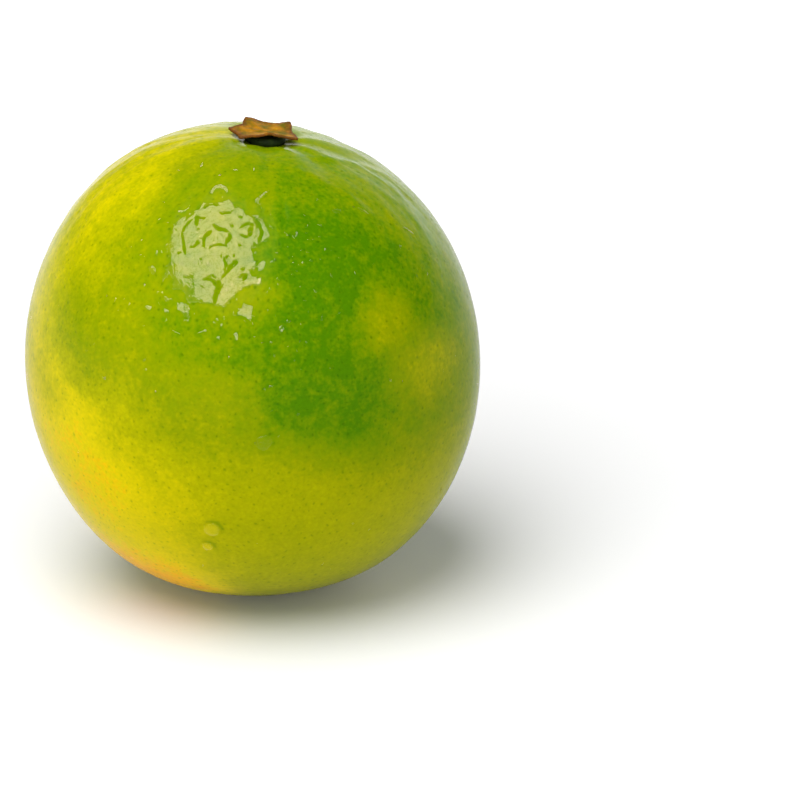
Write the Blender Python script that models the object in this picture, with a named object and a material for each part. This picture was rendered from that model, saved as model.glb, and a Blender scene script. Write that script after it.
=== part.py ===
"""A whole rock sugar orange, as picked: the rind body, the dried calyx and the cut stalk it grew on.

Metres, +Z up. The fruit stands on the small flat at its blossom end, with its stem end up, and the
origin is at the middle of its footprint on the surface. -Y is the side that faces the viewer.
"""

import math
import random

import bmesh
import bpy
import numpy as np
from mathutils import Matrix

MM = 0.001

# Rind body. The profile is a superellipse, so its shoulders are a little squarer than an ellipse's.
WIDTH = 68.0 * MM
LENGTH = 71.5 * MM
SHOULDER_POWER = 2.12
LONG_AXIS_LEAN = math.radians(-1.3)
LEAN_FADE = (-0.5, 0.3)  # height of a direction, from -1 to 1, where the lean starts and is full
STEM_LEAN = math.radians(3.3)

# Gentle swellings of the body: azimuth and elevation in degrees, breadth in degrees, height in mm.
SWELLINGS = (
    (175, 60, 26, 0.60),
    (5, 58, 24, -0.75),
    (0, 28, 20, -0.40),
    (-175, 2, 24, 0.35),
    (-178, -34, 18, -0.40),
    (-20, -58, 20, 0.25),
    (75, 5, 34, 0.35),
    (100, -40, 28, 0.30),
    (-80, -12, 24, -0.25),
    (-80, -66, 24, -0.60),
)
SWELLING_FADE = (math.radians(10), math.radians(22))  # angle from the foot, none to full

# Stem end: the hollow that the calyx sits in, and the shallow furrows that run out from it.
HOLLOW_DEPTH = 1.8 * MM
HOLLOW_REACH = 4.4 * MM
FURROWS = 8
FURROW_DEPTH = 0.45 * MM
FURROW_MIDDLE = math.radians(15)
FURROW_REACH = math.radians(9)
FURROW_WANDER = 0.9  # how far the furrows stray from even spacing, in radians of their wave
FURROW_STRENGTH = (0.6, 0.4)  # mean share of the depth, and how much it varies round the stem

# Blossom end: the flat that the fruit rests on, and the style's scar sunk in the middle of it.
FOOT_RADIUS = 6.5 * MM
FOOT_MARGIN = 1.01
SCAR_RADIUS = 1.7 * MM
SCAR_DEPTH = 0.7 * MM

# Oil glands, drawn larger than life: each is one shallow pit in the rind.
GLAND_PITS = 1180
PIT_DEPTH = 0.16 * MM
PIT_VARIATION = 0.45
PIT_SCATTER = 0.16
SEED = 11

# Rings of points that give the two ends their exact form: radius in mm and number of points.
STEM_RINGS = ((1.2, 6), (2.4, 12), (3.6, 16), (5.0, 20), (6.6, 24))
FOOT_RINGS = ((0.85, 6), (1.7, 10), (3.9, 14), (6.5, 24))
RING_CLEARANCE = 1.6 * MM

# Calyx: five dried sepals grown together in a star. Azimuth in degrees, then mm from the stem axis
# and mm above the level of the stem end's crown.
SEPAL_TIPS = (
    (178, 5.5, 0.45),
    (126, 5.4, 1.05),
    (49, 5.3, 0.8),
    (-30, 5.6, 0.2),
    (-137, 5.0, 0.2),
)
SEPAL_VALLEYS = (
    (152, 4.1, 0.55),
    (78, 3.7, 0.45),
    (9, 3.9, 0.2),
    (-78, 3.4, 1.05),
    (-160, 4.6, 0.2),
)
SEPAL_POINTEDNESS = 1.5
SEPAL_CURL = 1.7
SEPAL_THICKNESS = 0.6 * MM
CALYX_CENTRE_HEIGHT = 0.2 * MM
CALYX_STEPS_ROUND = 5
CALYX_STEPS_OUT = 5

# Stalk: the green disc under the calyx and the stub cut level with it.
FIT_GAP = 0.3 * MM
STUB_RADIUS = 1.35 * MM
STUB_TOP = 0.35 * MM
DISC_RADIUS = 3.0 * MM
STALK_SIDES = 32

COLOURS = {
    "rind": ((0.36, 0.46, 0.01), 0.32),
    "dried_sepal": ((0.26, 0.14, 0.03), 0.8),
    "green_stalk": ((0.05, 0.09, 0.02), 0.7),
}


def material(name):
    """A plain finish: base colour and roughness, with no metal in it."""
    colour, roughness = COLOURS[name]
    made = bpy.data.materials.new(name)
    made.use_nodes = True
    shader = made.node_tree.nodes["Principled BSDF"]
    shader.inputs["Base Color"].default_value = (*colour, 1.0)
    shader.inputs["Roughness"].default_value = roughness
    shader.inputs["Metallic"].default_value = 0.0
    return made


def add_object(name, shape, finish, parent=None):
    """Turns a bmesh into a named, smooth-shaded object with its own material."""
    mesh = bpy.data.meshes.new(name)
    shape.to_mesh(mesh)
    shape.free()
    mesh.shade_smooth()
    mesh.set_sharp_from_angle(angle=math.radians(40))
    mesh.materials.append(material(finish))
    made = bpy.data.objects.new(name, mesh)
    made.parent = parent
    bpy.context.scene.collection.objects.link(made)
    return made


def unit(azimuth, elevation):
    """Unit vector at an azimuth from +X and an elevation above the horizon, both in degrees."""
    turn, rise = math.radians(azimuth), math.radians(elevation)
    return np.array([math.cos(rise) * math.cos(turn), math.cos(rise) * math.sin(turn), math.sin(rise)])


def leaning(angle):
    """Rows are the axes of a frame whose +Z leans towards +X by the angle."""
    cos, sin = math.cos(angle), math.sin(angle)
    return np.array([[cos, 0.0, -sin], [0.0, 1.0, 0.0], [sin, 0.0, cos]])


def smooth_step(value, low, high):
    share = np.clip((value - low) / (high - low), 0.0, 1.0)
    return share * share * (3.0 - 2.0 * share)


def superellipse_radius(local):
    """Distance from the centre to a plain upright body."""
    across = np.hypot(local[:, 0], local[:, 1]) / (WIDTH / 2)
    along = np.abs(local[:, 2]) / (LENGTH / 2)
    return (across**SHOULDER_POWER + along**SHOULDER_POWER) ** (-1.0 / SHOULDER_POWER)


def body_radius(directions):
    """Distance from the centre to the plain body, whose long axis leans in its upper half."""
    upright = superellipse_radius(directions)
    leant = superellipse_radius(directions @ leaning(LONG_AXIS_LEAN).T)
    return upright + (leant - upright) * smooth_step(directions[:, 2], *LEAN_FADE)


def swelling_height(directions):
    """The body's gentle unevenness, which dies out towards the foot."""
    height = np.zeros(len(directions))
    for azimuth, elevation, breadth, rise in SWELLINGS:
        angle = np.arccos(np.clip(directions @ unit(azimuth, elevation), -1.0, 1.0))
        height += rise * MM * np.exp(-((angle / math.radians(breadth)) ** 2))
    from_foot = np.arccos(np.clip(-directions[:, 2], -1.0, 1.0))
    return height * smooth_step(from_foot, *SWELLING_FADE)


def stem_end_depth(directions):
    """How far the hollow and the furrows of the stem end go below the plain body."""
    local = directions @ leaning(STEM_LEAN).T
    from_stem = np.arccos(np.clip(local[:, 2], -1.0, 1.0))
    round_stem = np.arctan2(local[:, 1], local[:, 0])
    hollow = HOLLOW_DEPTH * np.exp(-((from_stem * LENGTH / 2 / HOLLOW_REACH) ** 2))
    wander = FURROW_WANDER * np.sin(2 * round_stem + 1.0)
    wave = 0.5 + 0.5 * np.cos(FURROWS * round_stem + wander)
    strength = FURROW_STRENGTH[0] + FURROW_STRENGTH[1] * np.sin(round_stem + 2.4)
    window = np.exp(-(((from_stem - FURROW_MIDDLE) / FURROW_REACH) ** 2))
    return hollow + FURROW_DEPTH * wave * strength * window


def foot_drop():
    """How far below the centre the resting flat lies, so that it has the foot's radius."""
    share = (2 * FOOT_RADIUS / WIDTH) ** SHOULDER_POWER
    return LENGTH / 2 * (1.0 - share) ** (1.0 / SHOULDER_POWER)


def rind_points(directions, pit_depths):
    """Points of the rind, measured from the fruit's centre."""
    radius = body_radius(directions) + swelling_height(directions)
    radius -= stem_end_depth(directions) + pit_depths
    points = directions * radius[:, None]
    drop = foot_drop()
    beside = np.hypot(points[:, 0], points[:, 1])
    in_foot = (points[:, 2] < 0) & (beside < FOOT_RADIUS * FOOT_MARGIN)
    points[:, 2] = np.where(in_foot, -drop, np.maximum(points[:, 2], -drop))
    scar = SCAR_DEPTH * (1.0 - smooth_step(beside, 0.3 * SCAR_RADIUS, SCAR_RADIUS))
    points[:, 2] += np.where(in_foot, scar, 0.0)
    return points


def crown_height():
    """Height above the centre of the stem end's crown, before its hollow is sunk."""
    stem = leaning(STEM_LEAN)[2:3]
    return float(body_radius(stem)[0] + swelling_height(stem)[0])


def ring_directions(rings, axes, distance):
    """Directions of rings of points round the third axis, with one point on it."""
    found = [axes[2]]
    for number, (radius, count) in enumerate(rings):
        for step in range(count):
            turn = 2 * math.pi * (step + 0.5 * (number % 2)) / count
            aside = axes[0] * math.cos(turn) + axes[1] * math.sin(turn)
            found.append(axes[2] * distance + aside * radius * MM)
    return [direction / np.linalg.norm(direction) for direction in found]


def gland_directions(stem, foot):
    """Evenly spread, slightly scattered directions of the glands, clear of the two ends' rings."""
    draw = random.Random(SEED)
    golden_turn = math.pi * (3.0 - math.sqrt(5.0))
    spacing = math.sqrt(4 * math.pi / GLAND_PITS)
    clear_of_stem = (STEM_RINGS[-1][0] * MM + RING_CLEARANCE) / (LENGTH / 2)
    clear_of_foot = (FOOT_RADIUS + RING_CLEARANCE) / foot_drop()
    found = []
    for step in range(GLAND_PITS):
        height = 1.0 - 2.0 * (step + 0.5) / GLAND_PITS
        beside = math.sqrt(1.0 - height * height)
        turn = golden_turn * step
        direction = np.array([beside * math.cos(turn), beside * math.sin(turn), height])
        direction += PIT_SCATTER * spacing * np.array([draw.gauss(0, 1) for _ in range(3)])
        direction /= np.linalg.norm(direction)
        from_stem = math.acos(min(1.0, float(direction @ stem)))
        from_foot = math.acos(min(1.0, float(direction @ foot)))
        if from_stem > clear_of_stem and from_foot > clear_of_foot:
            found.append(direction)
    return found


def make_fruit():
    """The rind as one closed body: a net of triangles with a gland's pit at each of its corners."""
    stem_axes = leaning(STEM_LEAN)
    foot_axes = np.array([[1.0, 0.0, 0.0], [0.0, -1.0, 0.0], [0.0, 0.0, -1.0]])
    ends = ring_directions(STEM_RINGS, stem_axes, LENGTH / 2 - HOLLOW_DEPTH)
    ends += ring_directions(FOOT_RINGS, foot_axes, foot_drop())
    glands = gland_directions(stem_axes[2], foot_axes[2])
    shape = bmesh.new()
    for direction in ends + glands:
        shape.verts.new(direction)
    bmesh.ops.convex_hull(shape, input=shape.verts)
    bmesh.ops.subdivide_edges(shape, edges=shape.edges, cuts=1, use_grid_fill=True)
    bmesh.ops.triangulate(shape, faces=shape.faces)
    shape.verts.ensure_lookup_table()
    directions = np.array([vertex.co.normalized() for vertex in shape.verts])
    depths = np.zeros(len(directions))
    draw = random.Random(SEED + 1)
    for index in range(len(ends), len(ends) + len(glands)):
        depths[index] = PIT_DEPTH * (1.0 + PIT_VARIATION * draw.uniform(-1.0, 1.0))
    for vertex, point in zip(shape.verts, rind_points(directions, depths)):
        vertex.co = point
    bmesh.ops.recalc_face_normals(shape, faces=shape.faces)
    return add_object("fruit", shape, "rind")


def calyx_rim():
    """Points round the star's rim: azimuth, distance from the axis and height, tip to tip."""
    tips = [(math.radians(a), r * MM, h * MM) for a, r, h in SEPAL_TIPS]
    valleys = [(math.radians(a), r * MM, h * MM) for a, r, h in SEPAL_VALLEYS]
    rim = []
    for number, tip in enumerate(tips):
        valley, following = valleys[number], tips[(number + 1) % len(tips)]
        for start, end, from_tip in ((tip, valley, True), (valley, following, False)):
            sweep = (end[0] - start[0] + math.pi) % (2 * math.pi) - math.pi
            for step in range(CALYX_STEPS_ROUND):
                share = step / CALYX_STEPS_ROUND
                towards_tip = (1.0 - share if from_tip else share) ** SEPAL_POINTEDNESS
                tip_end, valley_end = (start, end) if from_tip else (end, start)
                rim.append(
                    (
                        start[0] + sweep * share,
                        valley_end[1] + (tip_end[1] - valley_end[1]) * towards_tip,
                        valley_end[2] + (tip_end[2] - valley_end[2]) * towards_tip,
                    )
                )
    return rim


def make_calyx(stem_end):
    """The star of sepals: a dished plate with a round hole for the stub."""
    hole = STUB_RADIUS + FIT_GAP
    shape = bmesh.new()
    columns = []
    for azimuth, reach, height in calyx_rim():
        column = []
        for step in range(CALYX_STEPS_OUT + 1):
            share = step / CALYX_STEPS_OUT
            out = hole + (reach - hole) * share
            rise = CALYX_CENTRE_HEIGHT + (height - CALYX_CENTRE_HEIGHT) * share**SEPAL_CURL
            place = (out * math.cos(azimuth), out * math.sin(azimuth))
            top = shape.verts.new((*place, rise))
            column.append((top, shape.verts.new((*place, rise - SEPAL_THICKNESS))))
        columns.append(column)
    for number, column in enumerate(columns):
        beside = columns[(number + 1) % len(columns)]
        for step in range(CALYX_STEPS_OUT):
            for side in (0, 1):
                near, far = column[step][side], column[step + 1][side]
                near_beside, far_beside = beside[step][side], beside[step + 1][side]
                shape.faces.new((near, far, far_beside))
                shape.faces.new((near, far_beside, near_beside))
        for step in (0, CALYX_STEPS_OUT):
            shape.faces.new((*column[step], *reversed(beside[step])))
    bmesh.ops.recalc_face_normals(shape, faces=shape.faces)
    return add_object("calyx", shape, "dried_sepal", stem_end)


def make_stem_button(stem_end):
    """The stalk's disc and stub, turned about the stem axis."""
    seat = FIT_GAP - HOLLOW_DEPTH
    under_calyx = CALYX_CENTRE_HEIGHT - SEPAL_THICKNESS - FIT_GAP
    profile = (
        (0.0, seat),
        (0.55 * DISC_RADIUS, seat + 0.05 * MM),
        (0.9 * DISC_RADIUS, seat + 0.3 * MM),
        (DISC_RADIUS, seat + 0.6 * MM),
        (0.88 * DISC_RADIUS, under_calyx - 0.05 * MM),
        (1.25 * STUB_RADIUS, under_calyx),
        (STUB_RADIUS, under_calyx + 0.2 * MM),
        (STUB_RADIUS, STUB_TOP - 0.2 * MM),
        (0.85 * STUB_RADIUS, STUB_TOP),
        (0.0, STUB_TOP - 0.1 * MM),
    )
    shape = bmesh.new()
    corners = [shape.verts.new((out, 0.0, rise)) for out, rise in profile]
    edges = [shape.edges.new(pair) for pair in zip(corners, corners[1:])]
    bmesh.ops.spin(
        shape,
        geom=corners + edges,
        axis=(0.0, 0.0, 1.0),
        cent=(0.0, 0.0, 0.0),
        angle=2 * math.pi,
        steps=STALK_SIDES,
    )
    bmesh.ops.remove_doubles(shape, verts=shape.verts, dist=0.01 * MM)
    bmesh.ops.recalc_face_normals(shape, faces=shape.faces)
    return add_object("stem_button", shape, "green_stalk", stem_end)


def centre_on_origin(fruit):
    """Where the fruit's centre goes, so that its footprint is centred and its flat lies on the ground."""
    points = np.array([vertex.co for vertex in fruit.data.vertices])
    middle = (points.min(axis=0) + points.max(axis=0)) / 2
    return (-middle[0], -middle[1], foot_drop())


def main():
    for leftover in list(bpy.data.objects):
        bpy.data.objects.remove(leftover, do_unlink=True)
    fruit = make_fruit()
    fruit.location = centre_on_origin(fruit)
    stem_end = bpy.data.objects.new("stem_end", None)
    bpy.context.scene.collection.objects.link(stem_end)
    stem_end.parent = fruit
    stem_end.matrix_local = Matrix.Rotation(STEM_LEAN, 4, "Y") @ Matrix.Translation((0, 0, crown_height()))
    make_calyx(stem_end)
    make_stem_button(stem_end)


main()
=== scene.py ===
import math

import bmesh
import bpy
import numpy as np
from bpy.props import FloatProperty, FloatVectorProperty, PointerProperty
from mathutils import Matrix, Vector, noise


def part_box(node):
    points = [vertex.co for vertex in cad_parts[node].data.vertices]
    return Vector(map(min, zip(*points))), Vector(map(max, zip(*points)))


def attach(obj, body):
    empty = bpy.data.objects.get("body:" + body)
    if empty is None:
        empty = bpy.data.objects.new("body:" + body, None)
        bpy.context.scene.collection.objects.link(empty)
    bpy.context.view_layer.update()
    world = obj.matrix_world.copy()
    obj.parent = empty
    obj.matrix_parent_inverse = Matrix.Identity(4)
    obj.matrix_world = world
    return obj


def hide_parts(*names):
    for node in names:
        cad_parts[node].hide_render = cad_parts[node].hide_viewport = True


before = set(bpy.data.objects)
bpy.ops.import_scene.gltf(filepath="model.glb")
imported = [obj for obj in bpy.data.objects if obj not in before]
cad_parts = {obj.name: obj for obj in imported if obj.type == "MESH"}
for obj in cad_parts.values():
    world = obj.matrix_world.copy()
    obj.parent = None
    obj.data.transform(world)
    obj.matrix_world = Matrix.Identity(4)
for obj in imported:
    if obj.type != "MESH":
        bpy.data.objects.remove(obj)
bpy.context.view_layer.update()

bl_info = {
    "name": "Rock sugar orange",
    "version": (1, 0, 0),
    "blender": (4, 5, 0),
    "location": "3D View > Sidebar > Orange",
    "description": "Dresses the solid of a rock sugar orange with its rind, calyx, stalk and water drops",
    "category": "Add Mesh",
}

MM = 0.001
IN_MM = {"subtype": "DISTANCE", "unit": "LENGTH", "precision": 5}  # how the panel shows a small length

# Rind body: a superellipse turned about the upright axis, whose long axis leans in its upper half.
WIDTH = 68.0 * MM
LENGTH = 71.5 * MM
SHOULDER_POWER = 2.12
LONG_AXIS_LEAN = math.radians(-1.3)
LEAN_FADE = (-0.5, 0.3)
STEM_LEAN = math.radians(3.3)

# Gentle swellings of the body: azimuth and elevation in degrees, breadth in degrees, height in mm.
SWELLINGS = (
    (175, 60, 26, 0.60),
    (5, 58, 24, -0.75),
    (0, 28, 20, -0.40),
    (-175, 2, 24, 0.35),
    (-178, -34, 18, -0.40),
    (-20, -58, 20, 0.25),
    (75, 5, 34, 0.35),
    (100, -40, 28, 0.30),
    (-80, -12, 24, -0.25),
    (-80, -66, 24, -0.60),
)
SWELLING_FADE = (math.radians(10), math.radians(22))

# Stem end: the hollow that the calyx sits in, and the furrows that run out from it.
HOLLOW_DEPTH = 1.8 * MM
HOLLOW_REACH = 4.4 * MM
FURROWS = 8
FURROW_DEPTH = 0.45 * MM
FURROW_MIDDLE = math.radians(15)
FURROW_REACH = math.radians(9)
FURROW_WANDER = 0.9
FURROW_STRENGTH = (0.6, 0.4)

# Blossom end: the flat that the fruit rests on, and the style's scar in the middle of it.
FOOT_RADIUS = 6.5 * MM
FOOT_MARGIN = 1.01
SCAR_RADIUS = 1.7 * MM
SCAR_DEPTH = 0.7 * MM

# Calyx: five dried sepals grown together in a star. Azimuth in degrees, then mm from the stem axis
# and mm above the level of the stem end's crown.
SEPAL_TIPS = (
    (178, 5.5, 0.45),
    (126, 5.4, 1.05),
    (49, 5.3, 0.8),
    (-30, 5.6, 0.2),
    (-137, 5.0, 0.2),
)
SEPAL_VALLEYS = (
    (152, 4.1, 0.55),
    (78, 3.7, 0.45),
    (9, 3.9, 0.2),
    (-78, 3.4, 1.05),
    (-160, 4.6, 0.2),
)
SEPAL_POINTEDNESS = 1.5
SEPAL_CURL = 1.7
CALYX_CENTRE_HEIGHT = 0.2 * MM
STUB_RADIUS = 1.35 * MM
DISC_RADIUS = 3.0 * MM
FIT_GAP = 0.3 * MM


def linear(hex_colour):
    """An sRGB hex colour as linear red, green and blue."""
    parts = [int(hex_colour[start : start + 2], 16) / 255 for start in (1, 3, 5)]
    return tuple(p / 12.92 if p <= 0.04045 else ((p + 0.055) / 1.055) ** 2.4 for p in parts)


def unit(azimuth, elevation):
    """Unit vector at an azimuth from +X and an elevation above the horizon, both in degrees."""
    turn, rise = math.radians(azimuth), math.radians(elevation)
    return np.array([math.cos(rise) * math.cos(turn), math.cos(rise) * math.sin(turn), math.sin(rise)])


def rightward(outward):
    """Level unit vector to the right of a direction out from the fruit, for someone who looks at it."""
    return np.cross((0.0, 0.0, 1.0), outward) / np.hypot(*outward[:2])


def leaning(angle):
    """Rows are the axes of a frame whose +Z leans towards +X by the angle."""
    cos, sin = math.cos(angle), math.sin(angle)
    return np.array([[cos, 0.0, -sin], [0.0, 1.0, 0.0], [sin, 0.0, cos]])


def smooth_step(value, low, high):
    """Rises smoothly from 0 at the low value to 1 at the high one."""
    share = np.clip((value - low) / (high - low), 0.0, 1.0)
    return share * share * (3.0 - 2.0 * share)


def superellipse_radius(local):
    """Distance from the centre to a plain upright body."""
    across = np.hypot(local[:, 0], local[:, 1]) / (WIDTH / 2)
    along = np.abs(local[:, 2]) / (LENGTH / 2)
    return (across**SHOULDER_POWER + along**SHOULDER_POWER) ** (-1.0 / SHOULDER_POWER)


def body_radius(directions):
    """Distance from the centre to the plain body."""
    upright = superellipse_radius(directions)
    leant = superellipse_radius(directions @ leaning(LONG_AXIS_LEAN).T)
    return upright + (leant - upright) * smooth_step(directions[:, 2], *LEAN_FADE)


def swelling_height(directions):
    """The body's gentle unevenness, which dies out towards the foot."""
    height = np.zeros(len(directions))
    for azimuth, elevation, breadth, rise in SWELLINGS:
        angle = np.arccos(np.clip(directions @ unit(azimuth, elevation), -1.0, 1.0))
        height += rise * MM * np.exp(-((angle / math.radians(breadth)) ** 2))
    from_foot = np.arccos(np.clip(-directions[:, 2], -1.0, 1.0))
    return height * smooth_step(from_foot, *SWELLING_FADE)


def round_the_stem(directions):
    """Angle from the stem axis and azimuth round it, for each direction."""
    local = directions @ leaning(STEM_LEAN).T
    return np.arccos(np.clip(local[:, 2], -1.0, 1.0)), np.arctan2(local[:, 1], local[:, 0])


def stem_end_depth(directions):
    """How far the hollow and the furrows of the stem end go below the plain body."""
    from_stem, turn = round_the_stem(directions)
    hollow = HOLLOW_DEPTH * np.exp(-((from_stem * LENGTH / 2 / HOLLOW_REACH) ** 2))
    wave = 0.5 + 0.5 * np.cos(FURROWS * turn + FURROW_WANDER * np.sin(2 * turn + 1.0))
    strength = FURROW_STRENGTH[0] + FURROW_STRENGTH[1] * np.sin(turn + 2.4)
    window = np.exp(-(((from_stem - FURROW_MIDDLE) / FURROW_REACH) ** 2))
    return hollow + FURROW_DEPTH * wave * strength * window


def foot_drop():
    """How far below the centre the resting flat lies, so that it has the foot's radius."""
    share = (2 * FOOT_RADIUS / WIDTH) ** SHOULDER_POWER
    return LENGTH / 2 * (1.0 - share) ** (1.0 / SHOULDER_POWER)


def crown_height():
    """Height above the centre of the stem end's crown, before its hollow is sunk."""
    stem = leaning(STEM_LEAN)[2:3]
    return float(body_radius(stem)[0] + swelling_height(stem)[0])


def smooth_radius(directions):
    """Distance from the centre to the skin with no lumps or pits in it."""
    return body_radius(directions) + swelling_height(directions) - stem_end_depth(directions)


def fruit_centre():
    """The fruit's centre: its footprint is centred on the origin, and its flat lies on the ground."""
    low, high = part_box("fruit")
    turns, rises = range(0, 360, 5), range(-60, 61, 5)
    around = np.array([unit(azimuth, elevation) for azimuth in turns for elevation in rises])
    plain = around * smooth_radius(around)[:, None]
    middle = (plain.min(axis=0) + plain.max(axis=0)) / 2
    across, deep = (low.x + high.x) / 2 - middle[0], (low.y + high.y) / 2 - middle[1]
    return np.array([across, deep, low.z + foot_drop()])


CENTRE = fruit_centre()


def noise_field(points, size, shift):
    """Smooth noise from -1 to 1, with lumps as wide as the size; the shift picks a stretch of it."""
    offset = Vector((shift, shift * 0.7, -shift * 0.4))
    return np.array([noise.noise(Vector(point) / size + offset) for point in points])


def layered_noise(points, layers):
    """Noises laid over each other: each layer has its size, its strength and its shift."""
    return sum(strength * noise_field(points, size, shift) for size, strength, shift in layers)


def smooth_line(points, closed=False, steps=6):
    """A Catmull-Rom curve through the points."""
    points = [np.array(point, float) for point in points]
    count = len(points)
    made = []
    for index in range(count if closed else count - 1):
        if closed:
            a, b, c, d = (points[(index + step) % count] for step in (-1, 0, 1, 2))
        else:
            a, b, c, d = (points[min(max(index + step, 0), count - 1)] for step in (-1, 0, 1, 2))
        for step in range(steps):
            t = step / steps
            square, cube = 2 * a - 5 * b + 4 * c - d, 3 * b - a - 3 * c + d
            made.append(0.5 * (2 * b + (c - a) * t + square * t**2 + cube * t**3))
    if not closed:
        made.append(points[-1])
    return np.array(made)


def distance_to_line(points, line, closed=False):
    """Distance from each point to the line, and how far along the line its nearest spot is, 0 to 1."""
    ends = np.roll(line, -1, axis=0) if closed else line[1:]
    starts = line if closed else line[:-1]
    nearest = np.full(len(points), np.inf)
    along = np.zeros(len(points))
    for number, (start, end) in enumerate(zip(starts, ends)):
        span = end - start
        share = np.clip((points - start) @ span / max(span @ span, 1e-12), 0.0, 1.0)
        gap = np.linalg.norm(points - start - share[:, None] * span, axis=1)
        closer = gap < nearest
        nearest = np.where(closer, gap, nearest)
        along = np.where(closer, (number + share) / len(starts), along)
    return nearest, along


def inside(points, outline):
    """Whether each point is inside the closed outline."""
    found = np.zeros(len(points), bool)
    for start, end in zip(outline, np.roll(outline, -1, axis=0)):
        crosses = (start[1] > points[:, 1]) != (end[1] > points[:, 1])
        rise = end[1] - start[1]
        where = start[0] + (points[:, 1] - start[1]) * (end[0] - start[0]) / (rise if rise else 1e-12)
        found ^= crosses & (points[:, 0] < where)
    return found


def node(tree, kind, settings=(), inputs=()):
    """Adds a shader node, sets its properties and ramp stops, and sets or links its inputs."""
    made = tree.nodes.new(kind)
    for name, value in dict(settings).items():
        if name == "stops":
            stops = made.color_ramp.elements
            while len(stops) < len(value):
                stops.new(0.5)
            for stop, (place, colour) in zip(stops, value):
                stop.position = place
                stop.color = (*colour, 1.0)
        else:
            setattr(made, name, value)
    for name, value in dict(inputs).items():
        socket = made.inputs[name]
        if isinstance(value, bpy.types.NodeSocket):
            tree.links.new(value, socket)
        else:
            socket.default_value = value
    return made


def start_material(name):
    """A material with an empty node tree but for its shader, and that tree and shader."""
    made = bpy.data.materials.new(name)
    made.use_nodes = True
    return made, made.node_tree, made.node_tree.nodes["Principled BSDF"]


def deselect_all():
    """Leaves edit mode and deselects every object."""
    if bpy.context.object and bpy.context.object.mode != "OBJECT":
        bpy.ops.object.mode_set(mode="OBJECT")
    bpy.ops.object.select_all(action="DESELECT")


def level_points(rows):
    """Rows of two numbers as points of a level plane at height 0."""
    return np.column_stack([rows, np.zeros(len(rows))])


def directions_of(rows):
    """Rows scaled to length 1."""
    return rows / np.linalg.norm(rows, axis=1)[:, None]


def points_of(mesh):
    """The mesh's points as rows."""
    flat = np.zeros(len(mesh.vertices) * 3)
    mesh.vertices.foreach_get("co", flat)
    return flat.reshape(-1, 3)


def move_points(mesh, points):
    """Puts the mesh's points at the rows."""
    mesh.vertices.foreach_set("co", np.asarray(points, np.float32).ravel())
    mesh.update()


def add_attribute(mesh, name, values):
    """Stores one number for each point, for the material to read."""
    made = mesh.attributes.new(name, "FLOAT", "POINT")
    made.data.foreach_set("value", np.asarray(values, np.float32))


def check_closed(piece, name):
    """Stops the script if the piece has no faces, or an edge that is left open."""
    probe = bmesh.new()
    probe.from_mesh(piece.data)
    open_edges = sum(len(edge.link_faces) % 2 for edge in probe.edges)
    faces = len(probe.faces)
    probe.free()
    if not faces or open_edges:
        raise RuntimeError(f"{name} isn't a closed shell: {faces} faces, {open_edges} open edges")


def finish_piece(piece, name, material, replaced=None):
    """Names a closed piece, gives it its finish and puts it on the part's body."""
    check_closed(piece, name)
    piece.name = name
    piece.data.name = name
    piece.data.materials.clear()
    piece.data.materials.append(material)
    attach(piece, "root")
    if replaced:
        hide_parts(replaced)
    deselect_all()


# Rind. The net of triangles has a gland's pit at every third corner.
PITS_FINENESS = 6  # halvings of the icosahedron's edges plus one, for 10,242 pits about 1.3 mm apart
PIT_SCATTER = 0.25  # of the spacing, each way
ROW_DRIFT = 1.6  # spacings that the rows of glands stray, so that they don't run straight
ROW_DRIFT_SIZE = 0.22  # of the radius
ROW_DRIFT_SHIFTS = (3.1, 17.7, 41.3)
PIT_STRENGTH = (0.3, 0.7)  # the least share of the full depth, and what a draw adds to it
PIT_STRENGTH_POWER = 1.5  # above 1, so that most pits are shallow
PITS_START = (math.radians(7), math.radians(12))  # from the stem's axis; there are none inside the hollow
SEED = 11

# Where the rind has turned. Each patch is laid over the ones before it: azimuth and elevation of
# its middle, half its breadth and half its height in degrees, how soft its edge is as a share of
# those, and how ripe it is, from 0, deep green, to 1, golden orange.
BARE_RIPENESS = 0.35
PATCHES = (
    ((-190, 15), (51, 120), 1.1, 0.65),
    ((-100, -60), (200, 62), 0.9, 0.55),
    ((-145, -45), (38, 50), 1.4, 0.84),
    ((-146, -3), (13, 9), 1.3, 0.88),
    ((-134, -18), (13, 10), 1.3, 0.88),
    ((-133, -52), (26, 11), 1.3, 1.0),
    ((-88, 24), (25, 14), 1.2, 0.20),
    ((-50, 42), (50, 46), 0.8, 0.25),
    ((-60, 40), (25, 22), 0.9, 0.01),
    ((-59, 15), (29, 18), 1.3, 0.02),
    ((-51, 25), (11, 9), 1.2, 0.41),
    ((-24, 60), (24, 14), 1.2, 0.30),
    ((-155, 57), (17, 12), 1.5, 0.67),
    ((-105, 10), (14, 9), 1.4, 0.42),
    ((-136, 23), (14, 12), 1.4, 0.42),
    ((-89, 36), (9, 6), 1.2, 0.40),
    ((-150, 4), (9, 8), 1.4, 0.66),
    ((-38, 10), (16, 9), 1.4, 0.45),
    ((60, 0), (60, 70), 1.0, 0.30),
    ((130, 30), (35, 40), 1.0, 0.55),
    ((110, -35), (40, 25), 1.0, 0.80),
)
EDGE_WANDER = 4.0  # degrees that the edges of patches stray
EDGE_WANDER_SIZE = 0.3  # of the radius
EDGE_STRAYS = (
    ((EDGE_WANDER_SIZE, 1.0, 61.0), (EDGE_WANDER_SIZE / 3, 0.5, 67.0)),
    ((EDGE_WANDER_SIZE, 1.0, 71.0), (EDGE_WANDER_SIZE / 3, 0.5, 73.0)),
)
STREAK_RIPENESS = 0.10  # how far the streaks of the shoulders differ in ripeness
MOTTLES = ((7.5, 0.09), (3.0, 0.12), (1.4, 0.17), (0.6, 0.18))  # mm across, and how far ripeness changes
MOTTLING_LOW = 0.4  # how strong the mottles are at the blossom end
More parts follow.
